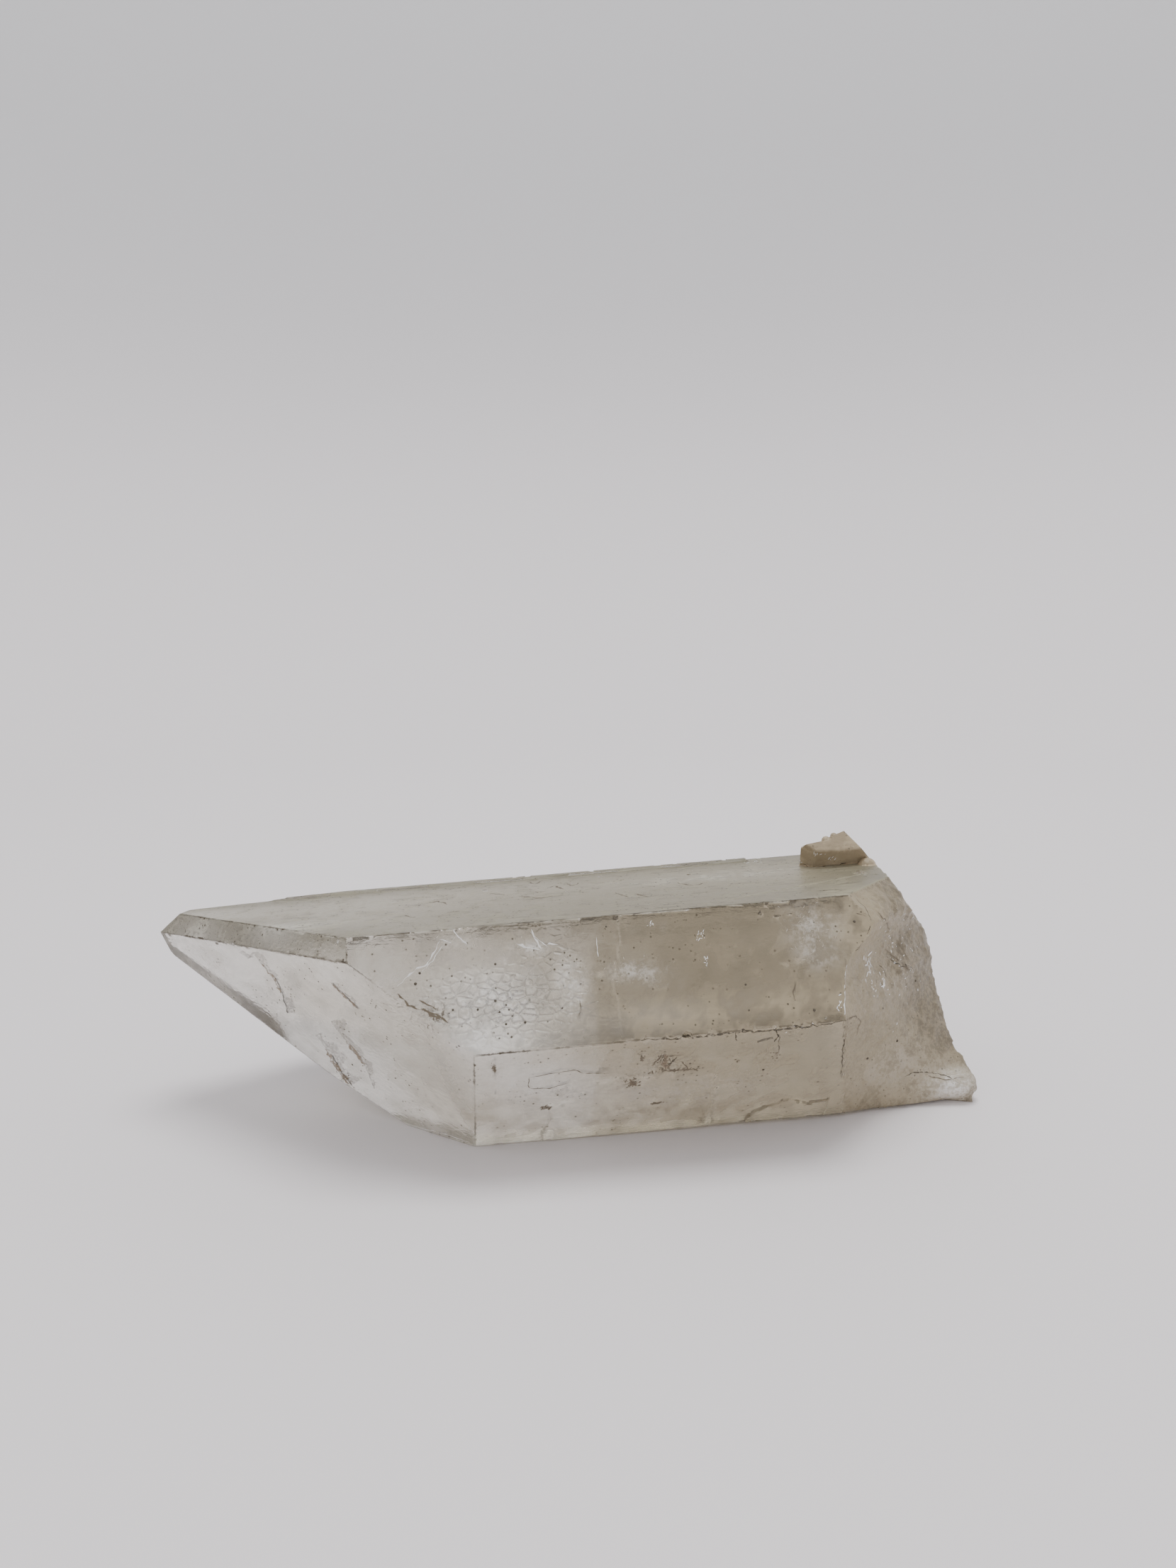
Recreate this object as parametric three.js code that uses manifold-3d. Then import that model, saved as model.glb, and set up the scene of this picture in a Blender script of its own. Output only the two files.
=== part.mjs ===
// Quartz crystal: one prismatic point lying on a prism face, with a small stub crystal grown
// on its back top edge and a broken, rippled base. It grew as one piece, so it is one solid.
// Millimetres, +Z up. The point aims along -X, the base is at +X, and the part rests on Z = 0.

import * as THREE from 'three';
import { ConvexGeometry } from 'three/addons/geometries/ConvexGeometry.js';
import { mergeVertices } from 'three/addons/utils/BufferGeometryUtils.js';
import Module from 'manifold-3d';

const wasm = await Module();
wasm.setup();

// ---------------------------------------------------------------- driving dimensions

const AXIS_HEIGHT = 22.6; // height of the c axis above the resting face
const RAW_LENGTH = 120; // how far the prism runs towards +X before its base is broken off

// Every flat face: azimuth about the c axis (0 is up, -90 the front), lean towards the tip,
// both in degrees, and distance from the axis point (0, 0, AXIS_HEIGHT) in mm.
const FACES = {
  top: { azimuth: 2.84, lean: 1.99, distance: 21.18 },
  frontUpper: { azimuth: -57.79, lean: 0.93, distance: 29.52 },
  frontLower: { azimuth: -119.45, lean: -0.86, distance: 27.82 },
  frontFoot: { azimuth: -168, lean: -0.7, distance: 25.7 },
  rest: { azimuth: 180, lean: 0, distance: AXIS_HEIGHT },
  backLower: { azimuth: 121.4, lean: 0, distance: 25.3 },
  backUpper: { azimuth: 61.4, lean: 1.74, distance: 26.3 },
  backUpperTaper: { azimuth: 61.5, lean: 7.5, distance: 30.8 },
  backUpperSteep: { azimuth: 61.8, lean: 8.9, distance: 32.1 },
  tipUpper: { azimuth: -60, lean: 38.3, distance: 49.63 },
  tipLower: { azimuth: -119.25, lean: 35.83, distance: 35.57 },
  tipUnder: { azimuth: -177.6, lean: 35.6, distance: 41 },
  tipUnderSteep: { azimuth: -174.8, lean: 30.3, distance: 37.8 },
  tipBack: { azimuth: 127.7, lean: 33.6, distance: 50.35 },
  tipTop: { azimuth: 20.5, lean: 36, distance: 63.6 },
  tipEnd: { azimuth: 101, lean: 59, distance: 77.3 },
};

// A low ledge along the back edge of the top face. Its tip end slopes, its base end is steep.
const LEDGE = { rise: 0.4, width: 2.2, from: -41, to: 43, slope: { tip: 12, base: 1, side: 0.5 } };

// Growth plates: thin raised sheets on a face. An outline is [along, across] in mm from the
// foot of the axis on that face, along towards the base and across upwards or backwards.
const PLATES = [
  {
    face: 'frontLower', rise: 0.2,
    outline: [
      [-9, -15], [-9.6, -7], [-8, -3], [-8.8, 1.6], [-5, 2.6], [-2.4, 4.4], [-0.8, 7.4], [5, 8.4],
      [9.4, 7.2], [14, 8], [19, 6.4], [22.4, 7], [23.6, 1.6], [22.8, -6], [24, -15],
    ],
  },
  {
    face: 'frontLower', rise: 0.2,
    outline: [
      [31, -18], [30.2, -10], [31.8, -6], [35, -4.6], [38.6, -2.8], [43, -5], [47, -4.2], [47, -18],
    ],
  },
  {
    face: 'frontUpper', rise: 0.15,
    outline: [[6, -30], [4.6, -4], [6.4, 3], [5, 30], [60, 30], [60, -30]],
  },
  {
    face: 'backUpper', rise: 0.4,
    outline: [[-30, -14], [-24, 2], [4, 4], [10, 14], [38, 13], [38, -14]],
  },
  {
    face: 'backLower', rise: 0.4,
    outline: [[-12, -13], [-10, 6], [26, 4], [30, 13], [54, 13], [54, -13]],
  },
  {
    face: 'tipBack', rise: 0.4,
    outline: [[-8, -9], [-5, 8], [14, 6], [12, -9]],
  },
];

// The broken base, front side: the border where the break leaves the front faces, given by
// its x at the ridge between those faces and its drift above and below, then the slope of
// the break in plan, from the foot upwards.
const BREAK_BORDER = { x: 46, drift: { above: 0.165, below: 0.23 } };
const BREAK_SHOULDER = { z: 41.5, reach: 4, rise: 6 };
const BREAK_SLOPE = { foot: 0.08, perHeight: 0.033, most: 0.943 };
const BREAK_STEP = 0.35; // depth of the break at its border
const BREAK_FADE = 5; // how far behind the border its swells reach full height

// Swells (+) and hollows (-) of that side: centre, reach and rise.
const FRONT_SWELLS = [
  { x: 60, z: 33, reach: 6, rise: -0.9 },
  { x: 56, z: 23, reach: 5, rise: 0.8 },
  { x: 67, z: 19, reach: 6, rise: -0.8 },
  { x: 58, z: 9, reach: 7, rise: -0.7 },
  { x: 68, z: 30, reach: 5, rise: 0.7 },
];

// The broken base, end side: the way each broad flat faces, and a point on it.
const END_FLATS = [
  { towards: [0.824, -0.12, 0.553], at: [64.1, -7.4, 45.8] },
  { towards: [0.96, 0.25, 0.078], at: [76.3, -8, 18.8] },
  { towards: [0.8, 0.55, -0.22], at: [66, 22, 24] },
];
const END_SWELLS = [
  { y: 2, z: 33, reach: 8, rise: 1.2 },
  { y: 8, z: 12, reach: 9, rise: -2.2 },
  { y: 24, z: 25, reach: 6, rise: 1.5 },
];
const BREAK_CELL = 1.7; // spacing of the points that shape the break

// Arcs about one struck point; twist, in radians per mm of height, keeps them uneven.
const RIPPLE = { height: 0.14, length: 4.4, x: 84, y: 34, z: 66, twist: 0.15 };

// The toe: a rounded lip along the foot of the base, and the wedge that carries it.
const TOE = { radius: 3.4, length: 11, at: [72.6, -13.6, 3.3], turn: -5, flatten: 0.94 };
const TOE_WEDGE = [
  [74, -9, 15], [79.6, -13, 8.4], [80.8, -14, 5], [80, -16.4, 0], [76.4, 1, 3], [75.6, 4, 0],
  [72, 4, 12], [62, -10, 0], [62, 10, 0], [64, -8, 12],
];

// The stub: a second crystal in parallel growth, set by its nearest corner. It is broken
// into two blocks, each bounded by flats of its own.
const STUB_CORNER = [52.9, 4, 49.1];
const STUB_FACES = ['frontUpper', 'frontLower', 'tipLower'];
const STUB_BLOCKS = [
  [
    { towards: [-1, 0.45, 0.1], at: [50.2, 7.2, 48.1] },
    { towards: [-0.72, 0.2, 0.68], at: [50.6, 5.2, 50.5] },
    { towards: [-0.16, 0.4, 0.9], at: [52.6, 5.2, 50.9] },
    { towards: [0.72, 0, 0.66], at: [59.3, 6.3, 52.9] },
    { towards: [0.2, 1, 0.25], at: [58, 15, 48] },
    { towards: [0, 0, -1], at: [58, 12, 40] },
  ],
  [
    { towards: [-1, 0, 0.3], at: [55.4, 6, 51] },
    { towards: [-0.34, 0.4, 0.85], at: [59.3, 6.3, 52.9] },
    { towards: [0.72, 0, 0.66], at: [59.5, 6.3, 52.9] },
    { towards: [0.2, 1, 0.35], at: [58, 13, 50] },
    { towards: [0, 0, -1], at: [58, 12, 40] },
  ],
];
const STUB_KNOBS = [
  { at: [55.6, 6.6, 50.9], radius: 1 },
  { at: [57.6, 7.4, 51.6], radius: 0.8 },
  { at: [64.2, 4.6, 45.3], radius: 2 },
  { at: [59.6, -3.4, 45.4], radius: 1.4 },
  { at: [62.2, -5.4, 45.1], radius: 1.2 },
];

// Etched pits: the [along, across] middle of a group on its face, how far it spreads each
// way, how many pits it has, and the limits of their size and depth.
const PITS = [
  { face: 'frontUpper', middle: [-14, -3], spread: [17, 7], count: 30, size: [0.5, 0.9] },
  { face: 'frontUpper', middle: [38, 4], spread: [9, 8], count: 6, size: [0.3, 0.6] },
  { face: 'top', middle: [4, 9], spread: [32, 8], count: 12, size: [0.3, 0.7] },
  { face: 'frontLower', middle: [10, 0], spread: [30, 9], count: 10, size: [0.3, 0.7] },
  { face: 'backLower', middle: [20, 0], spread: [34, 9], count: 16, size: [0.5, 1.2] },
  { face: 'backUpper', middle: [10, 0], spread: [34, 9], count: 16, size: [0.5, 1.2] },
];
const PIT_DEPTH = [0.15, 0.3]; // as a share of the size

// Chips along an edge between two faces, from one x to another.
const CHIPS = [
  { edge: ['frontUpper', 'frontLower'], from: 8, to: 44, count: 11, size: [0.5, 1.1] },
  { edge: ['frontUpper', 'top'], from: -40, to: 50, count: 9, size: [0.3, 0.5] },
  { edge: ['frontFoot', 'frontLower'], from: -18, to: 48, count: 9, size: [0.4, 0.9] },
  { edge: ['backUpper', 'top'], from: -30, to: 46, count: 8, size: [0.5, 1.1] },
  { edge: ['backUpper', 'backLower'], from: -10, to: 60, count: 10, size: [0.6, 1.6] },
  { edge: ['backLower', 'rest'], from: -6, to: 60, count: 7, size: [0.5, 1.1] },
  { edge: ['tipUpper', 'tipLower'], from: -80, to: -46, count: 5, size: [0.2, 0.4] },
];
const CHIP_OFFSET = 0.3; // how far out of the edge a chip is centred, as a share of its size
const CHIP_FLATNESS = 0.8;

const COLOUR = 0xc9c2b4;
const ROUGHNESS = 0.12;

// ---------------------------------------------------------------- helpers

const FAR = 40; // reach of a cutting shape beyond what it cuts
const NEAR = 2; // overlap of two shapes that are joined
const SAME = 1e-3; // points closer than this are one
const TINY = 1e-6;
const RIDGE_HEIGHT = 26.6; // of the ridge between the two front faces, at the base
const radians = THREE.MathUtils.degToRad;
const { lerp } = THREE.MathUtils;

// A repeatable random number between two limits.
let seed = 7;
function between(low, high) {
  seed = (seed * 16807) % 2147483647;
  return low + (high - low) * (seed / 2147483647);
}

// A face as a plane: points p with normal . p = offset lie on it.
function plane(face) {
  const azimuth = radians(face.azimuth);
  const lean = radians(face.lean);
  const normal = new THREE.Vector3(
    -Math.sin(lean),
    Math.cos(lean) * Math.sin(azimuth),
    Math.cos(lean) * Math.cos(azimuth),
  );
  return { normal, offset: face.distance + normal.z * AXIS_HEIGHT };
}

function planeThrough(towards, at) {
  const normal = new THREE.Vector3(...towards).normalize();
  return { normal, offset: normal.dot(new THREE.Vector3(...at)) };
}

// The point where three planes meet, or null where two are nearly parallel.
function meet(a, b, c) {
  const corner = new THREE.Vector3().crossVectors(b.normal, c.normal);
  const volume = a.normal.dot(corner);
  if (Math.abs(volume) < TINY) {
    return null;
  }
  corner.multiplyScalar(a.offset);
  corner.addScaledVector(new THREE.Vector3().crossVectors(c.normal, a.normal), b.offset);
  corner.addScaledVector(new THREE.Vector3().crossVectors(a.normal, b.normal), c.offset);
  return corner.divideScalar(volume);
}

function solidOf(geometry) {
  const bare = geometry.clone();
  bare.deleteAttribute('normal');
  bare.deleteAttribute('uv');
  const merged = mergeVertices(bare, SAME / 10);
  return new wasm.Manifold(new wasm.Mesh({
    numProp: 3,
    vertProperties: new Float32Array(merged.attributes.position.array),
    triVerts: new Uint32Array(merged.index.array),
  }));
}

// The convex solid that lies behind all of the planes.
function convexSolid(planes) {
  const corners = [];
  for (let i = 0; i < planes.length; i += 1) {
    for (let j = i + 1; j < planes.length; j += 1) {
      for (let k = j + 1; k < planes.length; k += 1) {
        const corner = meet(planes[i], planes[j], planes[k]);
        const inside = corner && planes.every((p) => p.normal.dot(corner) < p.offset + TINY);
        if (inside && corners.every((other) => other.distanceTo(corner) > SAME)) {
          corners.push(corner);
        }
      }
    }
  }
  return solidOf(new ConvexGeometry(corners));
}

// The frame of a face, at the foot of the axis: x along it, y across it, z outwards.
function faceFrame(name) {
  const { normal, offset } = plane(FACES[name]);
  const origin = new THREE.Vector3(0, 0, AXIS_HEIGHT);
  origin.addScaledVector(normal, offset - normal.dot(origin));
  const along = new THREE.Vector3(1, 0, 0).addScaledVector(normal, -normal.x).normalize();
  const across = new THREE.Vector3().crossVectors(normal, along);
  return new THREE.Matrix4().makeBasis(along, across, normal).setPosition(origin);
}

// Whether an outline holds a point: a line from the point crosses it an odd number of times.
function holds(outline, along, across) {
  return outline.reduce((within, [a, b], i) => {
    const [c, d] = outline[(i + 1) % outline.length];
    const crosses = (b > across) !== (d > across) && along < a + ((c - a) * (across - b)) / (d - b);
    return crosses ? !within : within;
  }, false);
}

// How far a growth plate raises a face at a point.
function riseAt(name, along, across) {
  const plate = PLATES.find(({ face, outline }) => face === name && holds(outline, along, across));
  return plate ? plate.rise : 0;
}

// A prism of the outline drawn on a face, from one height over that face to another.
function prismOn(name, outline, low, high) {
  const shape = new THREE.Shape(outline.map(([along, across]) => new THREE.Vector2(along, across)));
  const geometry = new THREE.ExtrudeGeometry(shape, { depth: high - low, bevelEnabled: false });
  return solidOf(geometry.translate(0, 0, low).applyMatrix4(faceFrame(name)));
}

// A rough little stone, for chips and pits: stretched and turned at random.
function pebble(size, flat) {
  const geometry = new THREE.IcosahedronGeometry(size, 0);
  geometry.scale(between(1, 2), between(0.8, 1.2), flat);
  geometry.rotateZ(between(0, Math.PI));
  return geometry.rotateX(between(-0.3, 0.3));
}

// ---------------------------------------------------------------- the parts that make up the solid

// The flat-faced crystal, with one face moved outwards if it is named.
function crystal(grownFace, rise = 0) {
  const planes = Object.entries(FACES).map(([name, face]) => {
    const extra = name === grownFace ? rise : 0;
    return plane({ ...face, distance: face.distance + extra });
  });
  planes.push({ normal: new THREE.Vector3(1, 0, 0), offset: RAW_LENGTH });
  return convexSolid(planes);
}

function growthPlate({ face, outline, rise }) {
  return crystal(face, rise).intersect(prismOn(face, outline, -NEAR, rise + NEAR));
}

function backLedge() {
  const { rise, width, from, to, slope } = LEDGE;
  const edge = meet(plane(FACES.top), plane(FACES.backUpper), planeThrough([1, 0, 0], [0, 0, 0]));
  const strip = convexSolid([
    planeThrough([-1, 0, slope.tip], [from, 0, edge.z]),
    planeThrough([1, 0, slope.base], [to, 0, edge.z]),
    planeThrough([0, -1, slope.side], [0, edge.y - width, edge.z]),
    planeThrough([0, 1, 0], [0, edge.y + FAR, edge.z]),
    planeThrough([0, 0, -1], [0, 0, edge.z - 2 * NEAR]),
    planeThrough([0, 0, 1], [0, 0, edge.z + FAR]),
  ]);
  return crystal('top', rise).intersect(strip);
}

function ripple(x, y, z) {
  const radius = Math.hypot(x - RIPPLE.x, y - RIPPLE.y, z - RIPPLE.z);
  return RIPPLE.height * Math.sin((2 * Math.PI * radius) / RIPPLE.length + RIPPLE.twist * z);
}

function swellAt(swells, axis, across, z) {
  return swells.reduce((sum, swell) => {
    const distance = Math.hypot(across - swell[axis], z - swell.z) / swell.reach;
    return sum + swell.rise * Math.exp(-distance * distance);
  }, 0);
}

// The x at which the break leaves the front faces.
function breakBorder(z) {
  const over = z - RIDGE_HEIGHT;
  const drift = over > 0 ? BREAK_BORDER.drift.above : -BREAK_BORDER.drift.below;
  const shoulder = (z - BREAK_SHOULDER.z) / BREAK_SHOULDER.reach;
  return BREAK_BORDER.x + drift * over + BREAK_SHOULDER.rise * Math.exp(-shoulder * shoulder);
}

// The y of the front faces, and of the break that takes their place behind the border.
function frontFaceY(x, z) {
  return Math.max(...['frontUpper', 'frontLower'].map((name) => {
    const { normal, offset } = plane(FACES[name]);
    return (offset - normal.x * x - normal.z * z) / normal.y;
  }));
}

function frontBreakY(x, z) {
  const behind = x - breakBorder(z);
  const slope = Math.min(BREAK_SLOPE.most, BREAK_SLOPE.foot + BREAK_SLOPE.perHeight * Math.max(z, 0));
  const fade = Math.min(1, behind / BREAK_FADE);
  const y = frontFaceY(x, z) + BREAK_STEP + slope * behind;
  return y - fade * (swellAt(FRONT_SWELLS, 'x', x, z) + ripple(x, y, z));
}

function endBreakX(y, z) {
  const flats = END_FLATS.map(({ towards, at }) => {
    const { normal, offset } = planeThrough(towards, at);
    return (offset - normal.y * y - normal.z * z) / normal.x;
  });
  const x = Math.min(...flats);
  return x + swellAt(END_SWELLS, 'y', y, z) + ripple(x, y, z);
}

// What a break took away: a block with one side moved onto the broken surface. place gives
// a point of the block from its three coordinates, each from 0 to 1.
function brokenBlock(cellsAcross, cellsUp, place) {
  const block = new THREE.BoxGeometry(1, 1, 1, cellsAcross, 1, cellsUp);
  const points = block.attributes.position;
  for (let i = 0; i < points.count; i += 1) {
    const [x, y, z] = place(points.getX(i) + 0.5, points.getY(i) + 0.5, points.getZ(i) + 0.5);
    points.setXYZ(i, x, y, z);
  }
  return solidOf(block);
}

function frontBreak() {
  const [low, high, end] = [-2 * NEAR, 50, 90];
  const cells = [end - BREAK_BORDER.x, high - low].map((size) => Math.round(size / BREAK_CELL));
  return brokenBlock(...cells, (across, depth, up) => {
    const z = lerp(low, high, up);
    const x = lerp(breakBorder(z), end, across);
    return [x, depth > 0.5 ? frontBreakY(x, z) : -2 * FAR, z];
  });
}

function endBreak() {
  const [low, high, front, back] = [-2 * NEAR, 60, -FAR, FAR];
  const cells = [back - front, high - low].map((size) => Math.round(size / BREAK_CELL));
  return brokenBlock(...cells, (across, depth, up) => {
    const y = lerp(front, back, across);
    const z = lerp(low, high, up);
    return [depth < 0.5 ? RAW_LENGTH + FAR : endBreakX(y, z), y, z];
  });
}

function toe() {
  const lip = new THREE.CapsuleGeometry(TOE.radius, TOE.length, 5, 14);
  lip.rotateZ(Math.PI / 2);
  lip.scale(1, 1, TOE.flatten);
  lip.rotateZ(radians(TOE.turn));
  lip.translate(...TOE.at);
  const wedge = new ConvexGeometry(TOE_WEDGE.map((point) => new THREE.Vector3(...point)));
  return solidOf(lip).add(solidOf(wedge));
}

function stub() {
  const corner = new THREE.Vector3(...STUB_CORNER);
  const grown = STUB_FACES.map((name) => {
    const { normal } = plane(FACES[name]);
    return { normal, offset: normal.dot(corner) };
  });
  const blocks = STUB_BLOCKS.map((flats) => {
    const broken = flats.map(({ towards, at }) => planeThrough(towards, at));
    return convexSolid([...grown, ...broken]);
  });
  const knobs = STUB_KNOBS.map(({ at, radius }) => {
    return solidOf(new THREE.IcosahedronGeometry(radius, 1).translate(...at));
  });
  return [...blocks, ...knobs].reduce((whole, piece) => whole.add(piece));
}

function pitsIn({ face, middle, spread, count, size }) {
  const pits = [];
  for (let i = 0; i < count; i += 1) {
    const turn = between(0, 2 * Math.PI);
    const reach = Math.sqrt(between(0, 1));
    const along = middle[0] + spread[0] * reach * Math.cos(turn);
    const across = middle[1] + spread[1] * reach * Math.sin(turn);
    const pit = pebble(between(...size), between(...PIT_DEPTH));
    pit.translate(along, across, riseAt(face, along, across));
    pits.push(solidOf(pit.applyMatrix4(faceFrame(face))));
  }
  return pits;
}

function chipsAlong({ edge, from, to, count, size }) {
  const [a, b] = edge.map((name) => plane(FACES[name]));
  const outwards = new THREE.Vector3().addVectors(a.normal, b.normal).normalize();
  const chips = [];
  for (let i = 0; i < count; i += 1) {
    const x = between(from, to);
    const radius = between(...size);
    const at = meet(a, b, planeThrough([1, 0, 0], [x, 0, 0]));
    at.addScaledVector(outwards, CHIP_OFFSET * radius);
    chips.push(solidOf(pebble(radius, CHIP_FLATNESS).translate(at.x, at.y, at.z)));
  }
  return chips;
}

function floorBlock() {
  const block = new THREE.BoxGeometry(4 * FAR + RAW_LENGTH, 4 * FAR, FAR);
  return solidOf(block.translate(0, 0, -FAR / 2));
}

// ---------------------------------------------------------------- the whole crystal

let body = crystal().add(backLedge());
for (const plate of PLATES) {
  body = body.add(growthPlate(plate));
}
body = body.subtract(frontBreak()).subtract(endBreak()).add(toe()).add(stub());
const lost = [...PITS.flatMap(pitsIn), ...CHIPS.flatMap(chipsAlong), floorBlock()];
for (const piece of lost) {
  body = body.subtract(piece);
}

const geometry = new THREE.BufferGeometry();
const { vertProperties, triVerts } = body.getMesh();
geometry.setAttribute('position', new THREE.BufferAttribute(vertProperties, 3));
geometry.setIndex(new THREE.BufferAttribute(triVerts, 1));
geometry.computeBoundingBox();
const { min, max } = geometry.boundingBox;
geometry.translate(-(min.x + max.x) / 2, -(min.y + max.y) / 2, -min.z); // origin: middle of its foot
geometry.computeVertexNormals();

const material = new THREE.MeshStandardMaterial({
  color: COLOUR, roughness: ROUGHNESS, metalness: 0,
});
const quartz = new THREE.Mesh(geometry, material);
quartz.name = 'quartz_crystal';

const part = new THREE.Group();
part.add(quartz);

export default part;
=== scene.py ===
import functools
import math
import random

import bmesh
import bpy
from mathutils import Matrix, Vector, noise
from mathutils.bvhtree import BVHTree
from mathutils.kdtree import KDTree


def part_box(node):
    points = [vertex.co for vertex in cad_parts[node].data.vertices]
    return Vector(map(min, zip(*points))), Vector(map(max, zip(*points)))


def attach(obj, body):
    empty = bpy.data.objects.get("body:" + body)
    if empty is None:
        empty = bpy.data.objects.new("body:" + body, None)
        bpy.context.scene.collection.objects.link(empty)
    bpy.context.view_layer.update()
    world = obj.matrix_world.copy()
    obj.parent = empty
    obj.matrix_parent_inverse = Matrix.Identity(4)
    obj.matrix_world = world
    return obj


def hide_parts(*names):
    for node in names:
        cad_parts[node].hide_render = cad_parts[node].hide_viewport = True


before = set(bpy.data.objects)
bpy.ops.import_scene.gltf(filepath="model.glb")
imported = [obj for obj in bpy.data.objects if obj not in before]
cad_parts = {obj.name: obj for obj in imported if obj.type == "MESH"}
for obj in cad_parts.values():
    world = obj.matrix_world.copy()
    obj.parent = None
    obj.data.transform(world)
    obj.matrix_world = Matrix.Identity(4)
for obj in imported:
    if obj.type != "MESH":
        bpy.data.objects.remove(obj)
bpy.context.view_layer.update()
LOW, HIGH = (Vector(corner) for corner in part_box("quartz_crystal"))

bl_info = {
    "name": "Quartz Crystal",
    "version": (1, 0, 0),
    "blender": (4, 5, 0),
    "location": "3D View > Sidebar > Quartz",
    "description": "Builds a clear to milky quartz point with its veils, stains and worn faces",
    "category": "Add Mesh",
}

MM = 0.001  # metres in a millimetre
CELL = 0.7 * MM  # size of the finest cells of the quartz mesh
WELD = 0.001 * MM  # vertices closer than this are merged
FLAT_WITHIN = 0.3  # degrees, triangles that lie this flat are joined into one face
SHARP_FROM = 24  # degrees, edges that bend more than this are shown sharp
NOISE_SEED = 999
noise.seed_set(NOISE_SEED)  # else the noise vectors change with the time of day

# The flat faces, as in the solid: azimuth about the long axis (0 is up, -90 the front) and
# lean towards the tip, in degrees.
FACES = {
    "top": (2.84, 1.99),
    "front_upper": (-57.79, 0.93),
    "front_lower": (-119.45, -0.86),
    "front_foot": (-168, -0.7),
    "rest": (180, 0),
    "back_lower": (121.4, 0),
    "back_upper": (61.4, 1.74),
    "back_taper": (61.5, 7.5),
    "back_steep": (61.8, 8.9),
    "tip_upper": (-60, 38.3),
    "tip_lower": (-119.25, 35.83),
    "tip_under": (-177.6, 35.6),
    "tip_under_steep": (-174.8, 30.3),
    "tip_back": (127.7, 33.6),
    "tip_top": (20.5, 36),
    "tip_end": (101, 59),
}
FACE_TOLERANCE = 1.2  # degrees
BREAK_FROM = 46.0  # mm along X, where the broken base starts
STUB_LOW = Vector((49.5, 3.0, 45.2))  # mm, lowest corner of the stub's box
BREAKAGE = len(FACES)  # region number of the broken base
STUB = BREAKAGE + 1
OTHER = BREAKAGE + 2  # pits, chips and the rims of growth plates


def region(name):
    return list(FACES).index(name)


def face_normal(name):
    azimuth, lean = (math.radians(angle) for angle in FACES[name])
    return Vector((
        -math.sin(lean),
        math.cos(lean) * math.sin(azimuth),
        math.cos(lean) * math.cos(azimuth),
    ))


# ------------ shader maths


class Value:
    """A socket of a node tree. Arithmetic on it adds Math nodes."""

    def __init__(self, tree, socket):
        self.tree = tree
        self.socket = socket

    def maths(self, operation, *terms, clamp=False):
        settings = {"operation": operation, "use_clamp": clamp}
        return self.tree.add("ShaderNodeMath", settings, dict(enumerate(terms)))

    def __add__(self, other):
        return self.maths("ADD", self, other)

    def __radd__(self, other):
        return self.maths("ADD", other, self)

    def __sub__(self, other):
        return self.maths("SUBTRACT", self, other)

    def __rsub__(self, other):
        return self.maths("SUBTRACT", other, self)

    def __mul__(self, other):
        return self.maths("MULTIPLY", self, other)

    def __rmul__(self, other):
        return self.maths("MULTIPLY", other, self)

    def clamped(self):
        return self.maths("ADD", self, 0.0, clamp=True)

    def most(self, other):
        return self.maths("MAXIMUM", self, other)

    def ramp(self, low, high):
        """0 below low, 1 above high and a soft step between them. low may be the larger."""
        settings = {"interpolation_type": "SMOOTHSTEP", "clamp": True}
        if low > high:
            return 1 - self.ramp(high, low)
        return self.tree.add("ShaderNodeMapRange", settings, {0: self, 1: low, 2: high})


class Tree:
    """The node tree of a material, with one method that adds any node."""

    def __init__(self, name):
        self.material = bpy.data.materials.new(name)
        self.material.use_nodes = True
        self.nodes = self.material.node_tree.nodes
        self.links = self.material.node_tree.links
        self.nodes.clear()

    def add(self, kind, settings=None, inputs=None, output=0):
        node = self.nodes.new(kind)
        for key, value in (settings or {}).items():
            setattr(node, key, value)
        for key, value in (inputs or {}).items():
            if isinstance(value, Value):
                self.links.new(value.socket, node.inputs[key])
            else:
                node.inputs[key].default_value = value
        return Value(self, node.outputs[output])

    def place(self, stretch=(1, 1, 1)):
        """Object coordinates in millimetres, stretched."""
        point = self.add("ShaderNodeTexCoord", output="Object")
        scale = tuple(factor / MM for factor in stretch)
        return self.add("ShaderNodeVectorMath", {"operation": "MULTIPLY"}, {0: point, 1: scale})

    def grain(self, point, scale, detail, roughness):
        inputs = {"Vector": point, "Scale": scale, "Detail": detail, "Roughness": roughness}
        return self.add("ShaderNodeTexNoise", {"noise_dimensions": "3D"}, inputs)

    def cells(self, point, scale, feature="F1"):
        inputs = {"Vector": point, "Scale": scale}
        return self.add("ShaderNodeTexVoronoi", {"feature": feature}, inputs, "Distance")

    def measured(self, name):
        return self.add("ShaderNodeAttribute", {"attribute_name": name}, output="Fac")

    def blend(self, share, first, second):
        """A colour between two, by a share from 0 to 1."""
        inputs = {"Factor": share, 6: first, 7: second}  # 6 and 7 are the two colours
        return self.add("ShaderNodeMix", {"data_type": "RGBA"}, inputs, output=2)

    def bump(self, height):
        """A bump of a height in millimetres."""
        return self.add("ShaderNodeBump", {}, {"Height": height, "Distance": MM, "Strength": 1.0})

    def finish(self, surface, volume=None):
        node = self.nodes.new("ShaderNodeOutputMaterial")
        self.links.new(surface.socket, node.inputs["Surface"])
        if volume:
            self.links.new(volume.socket, node.inputs["Volume"])
        return self.material


def colour(rgb):
    return (*rgb, 1.0)


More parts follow.
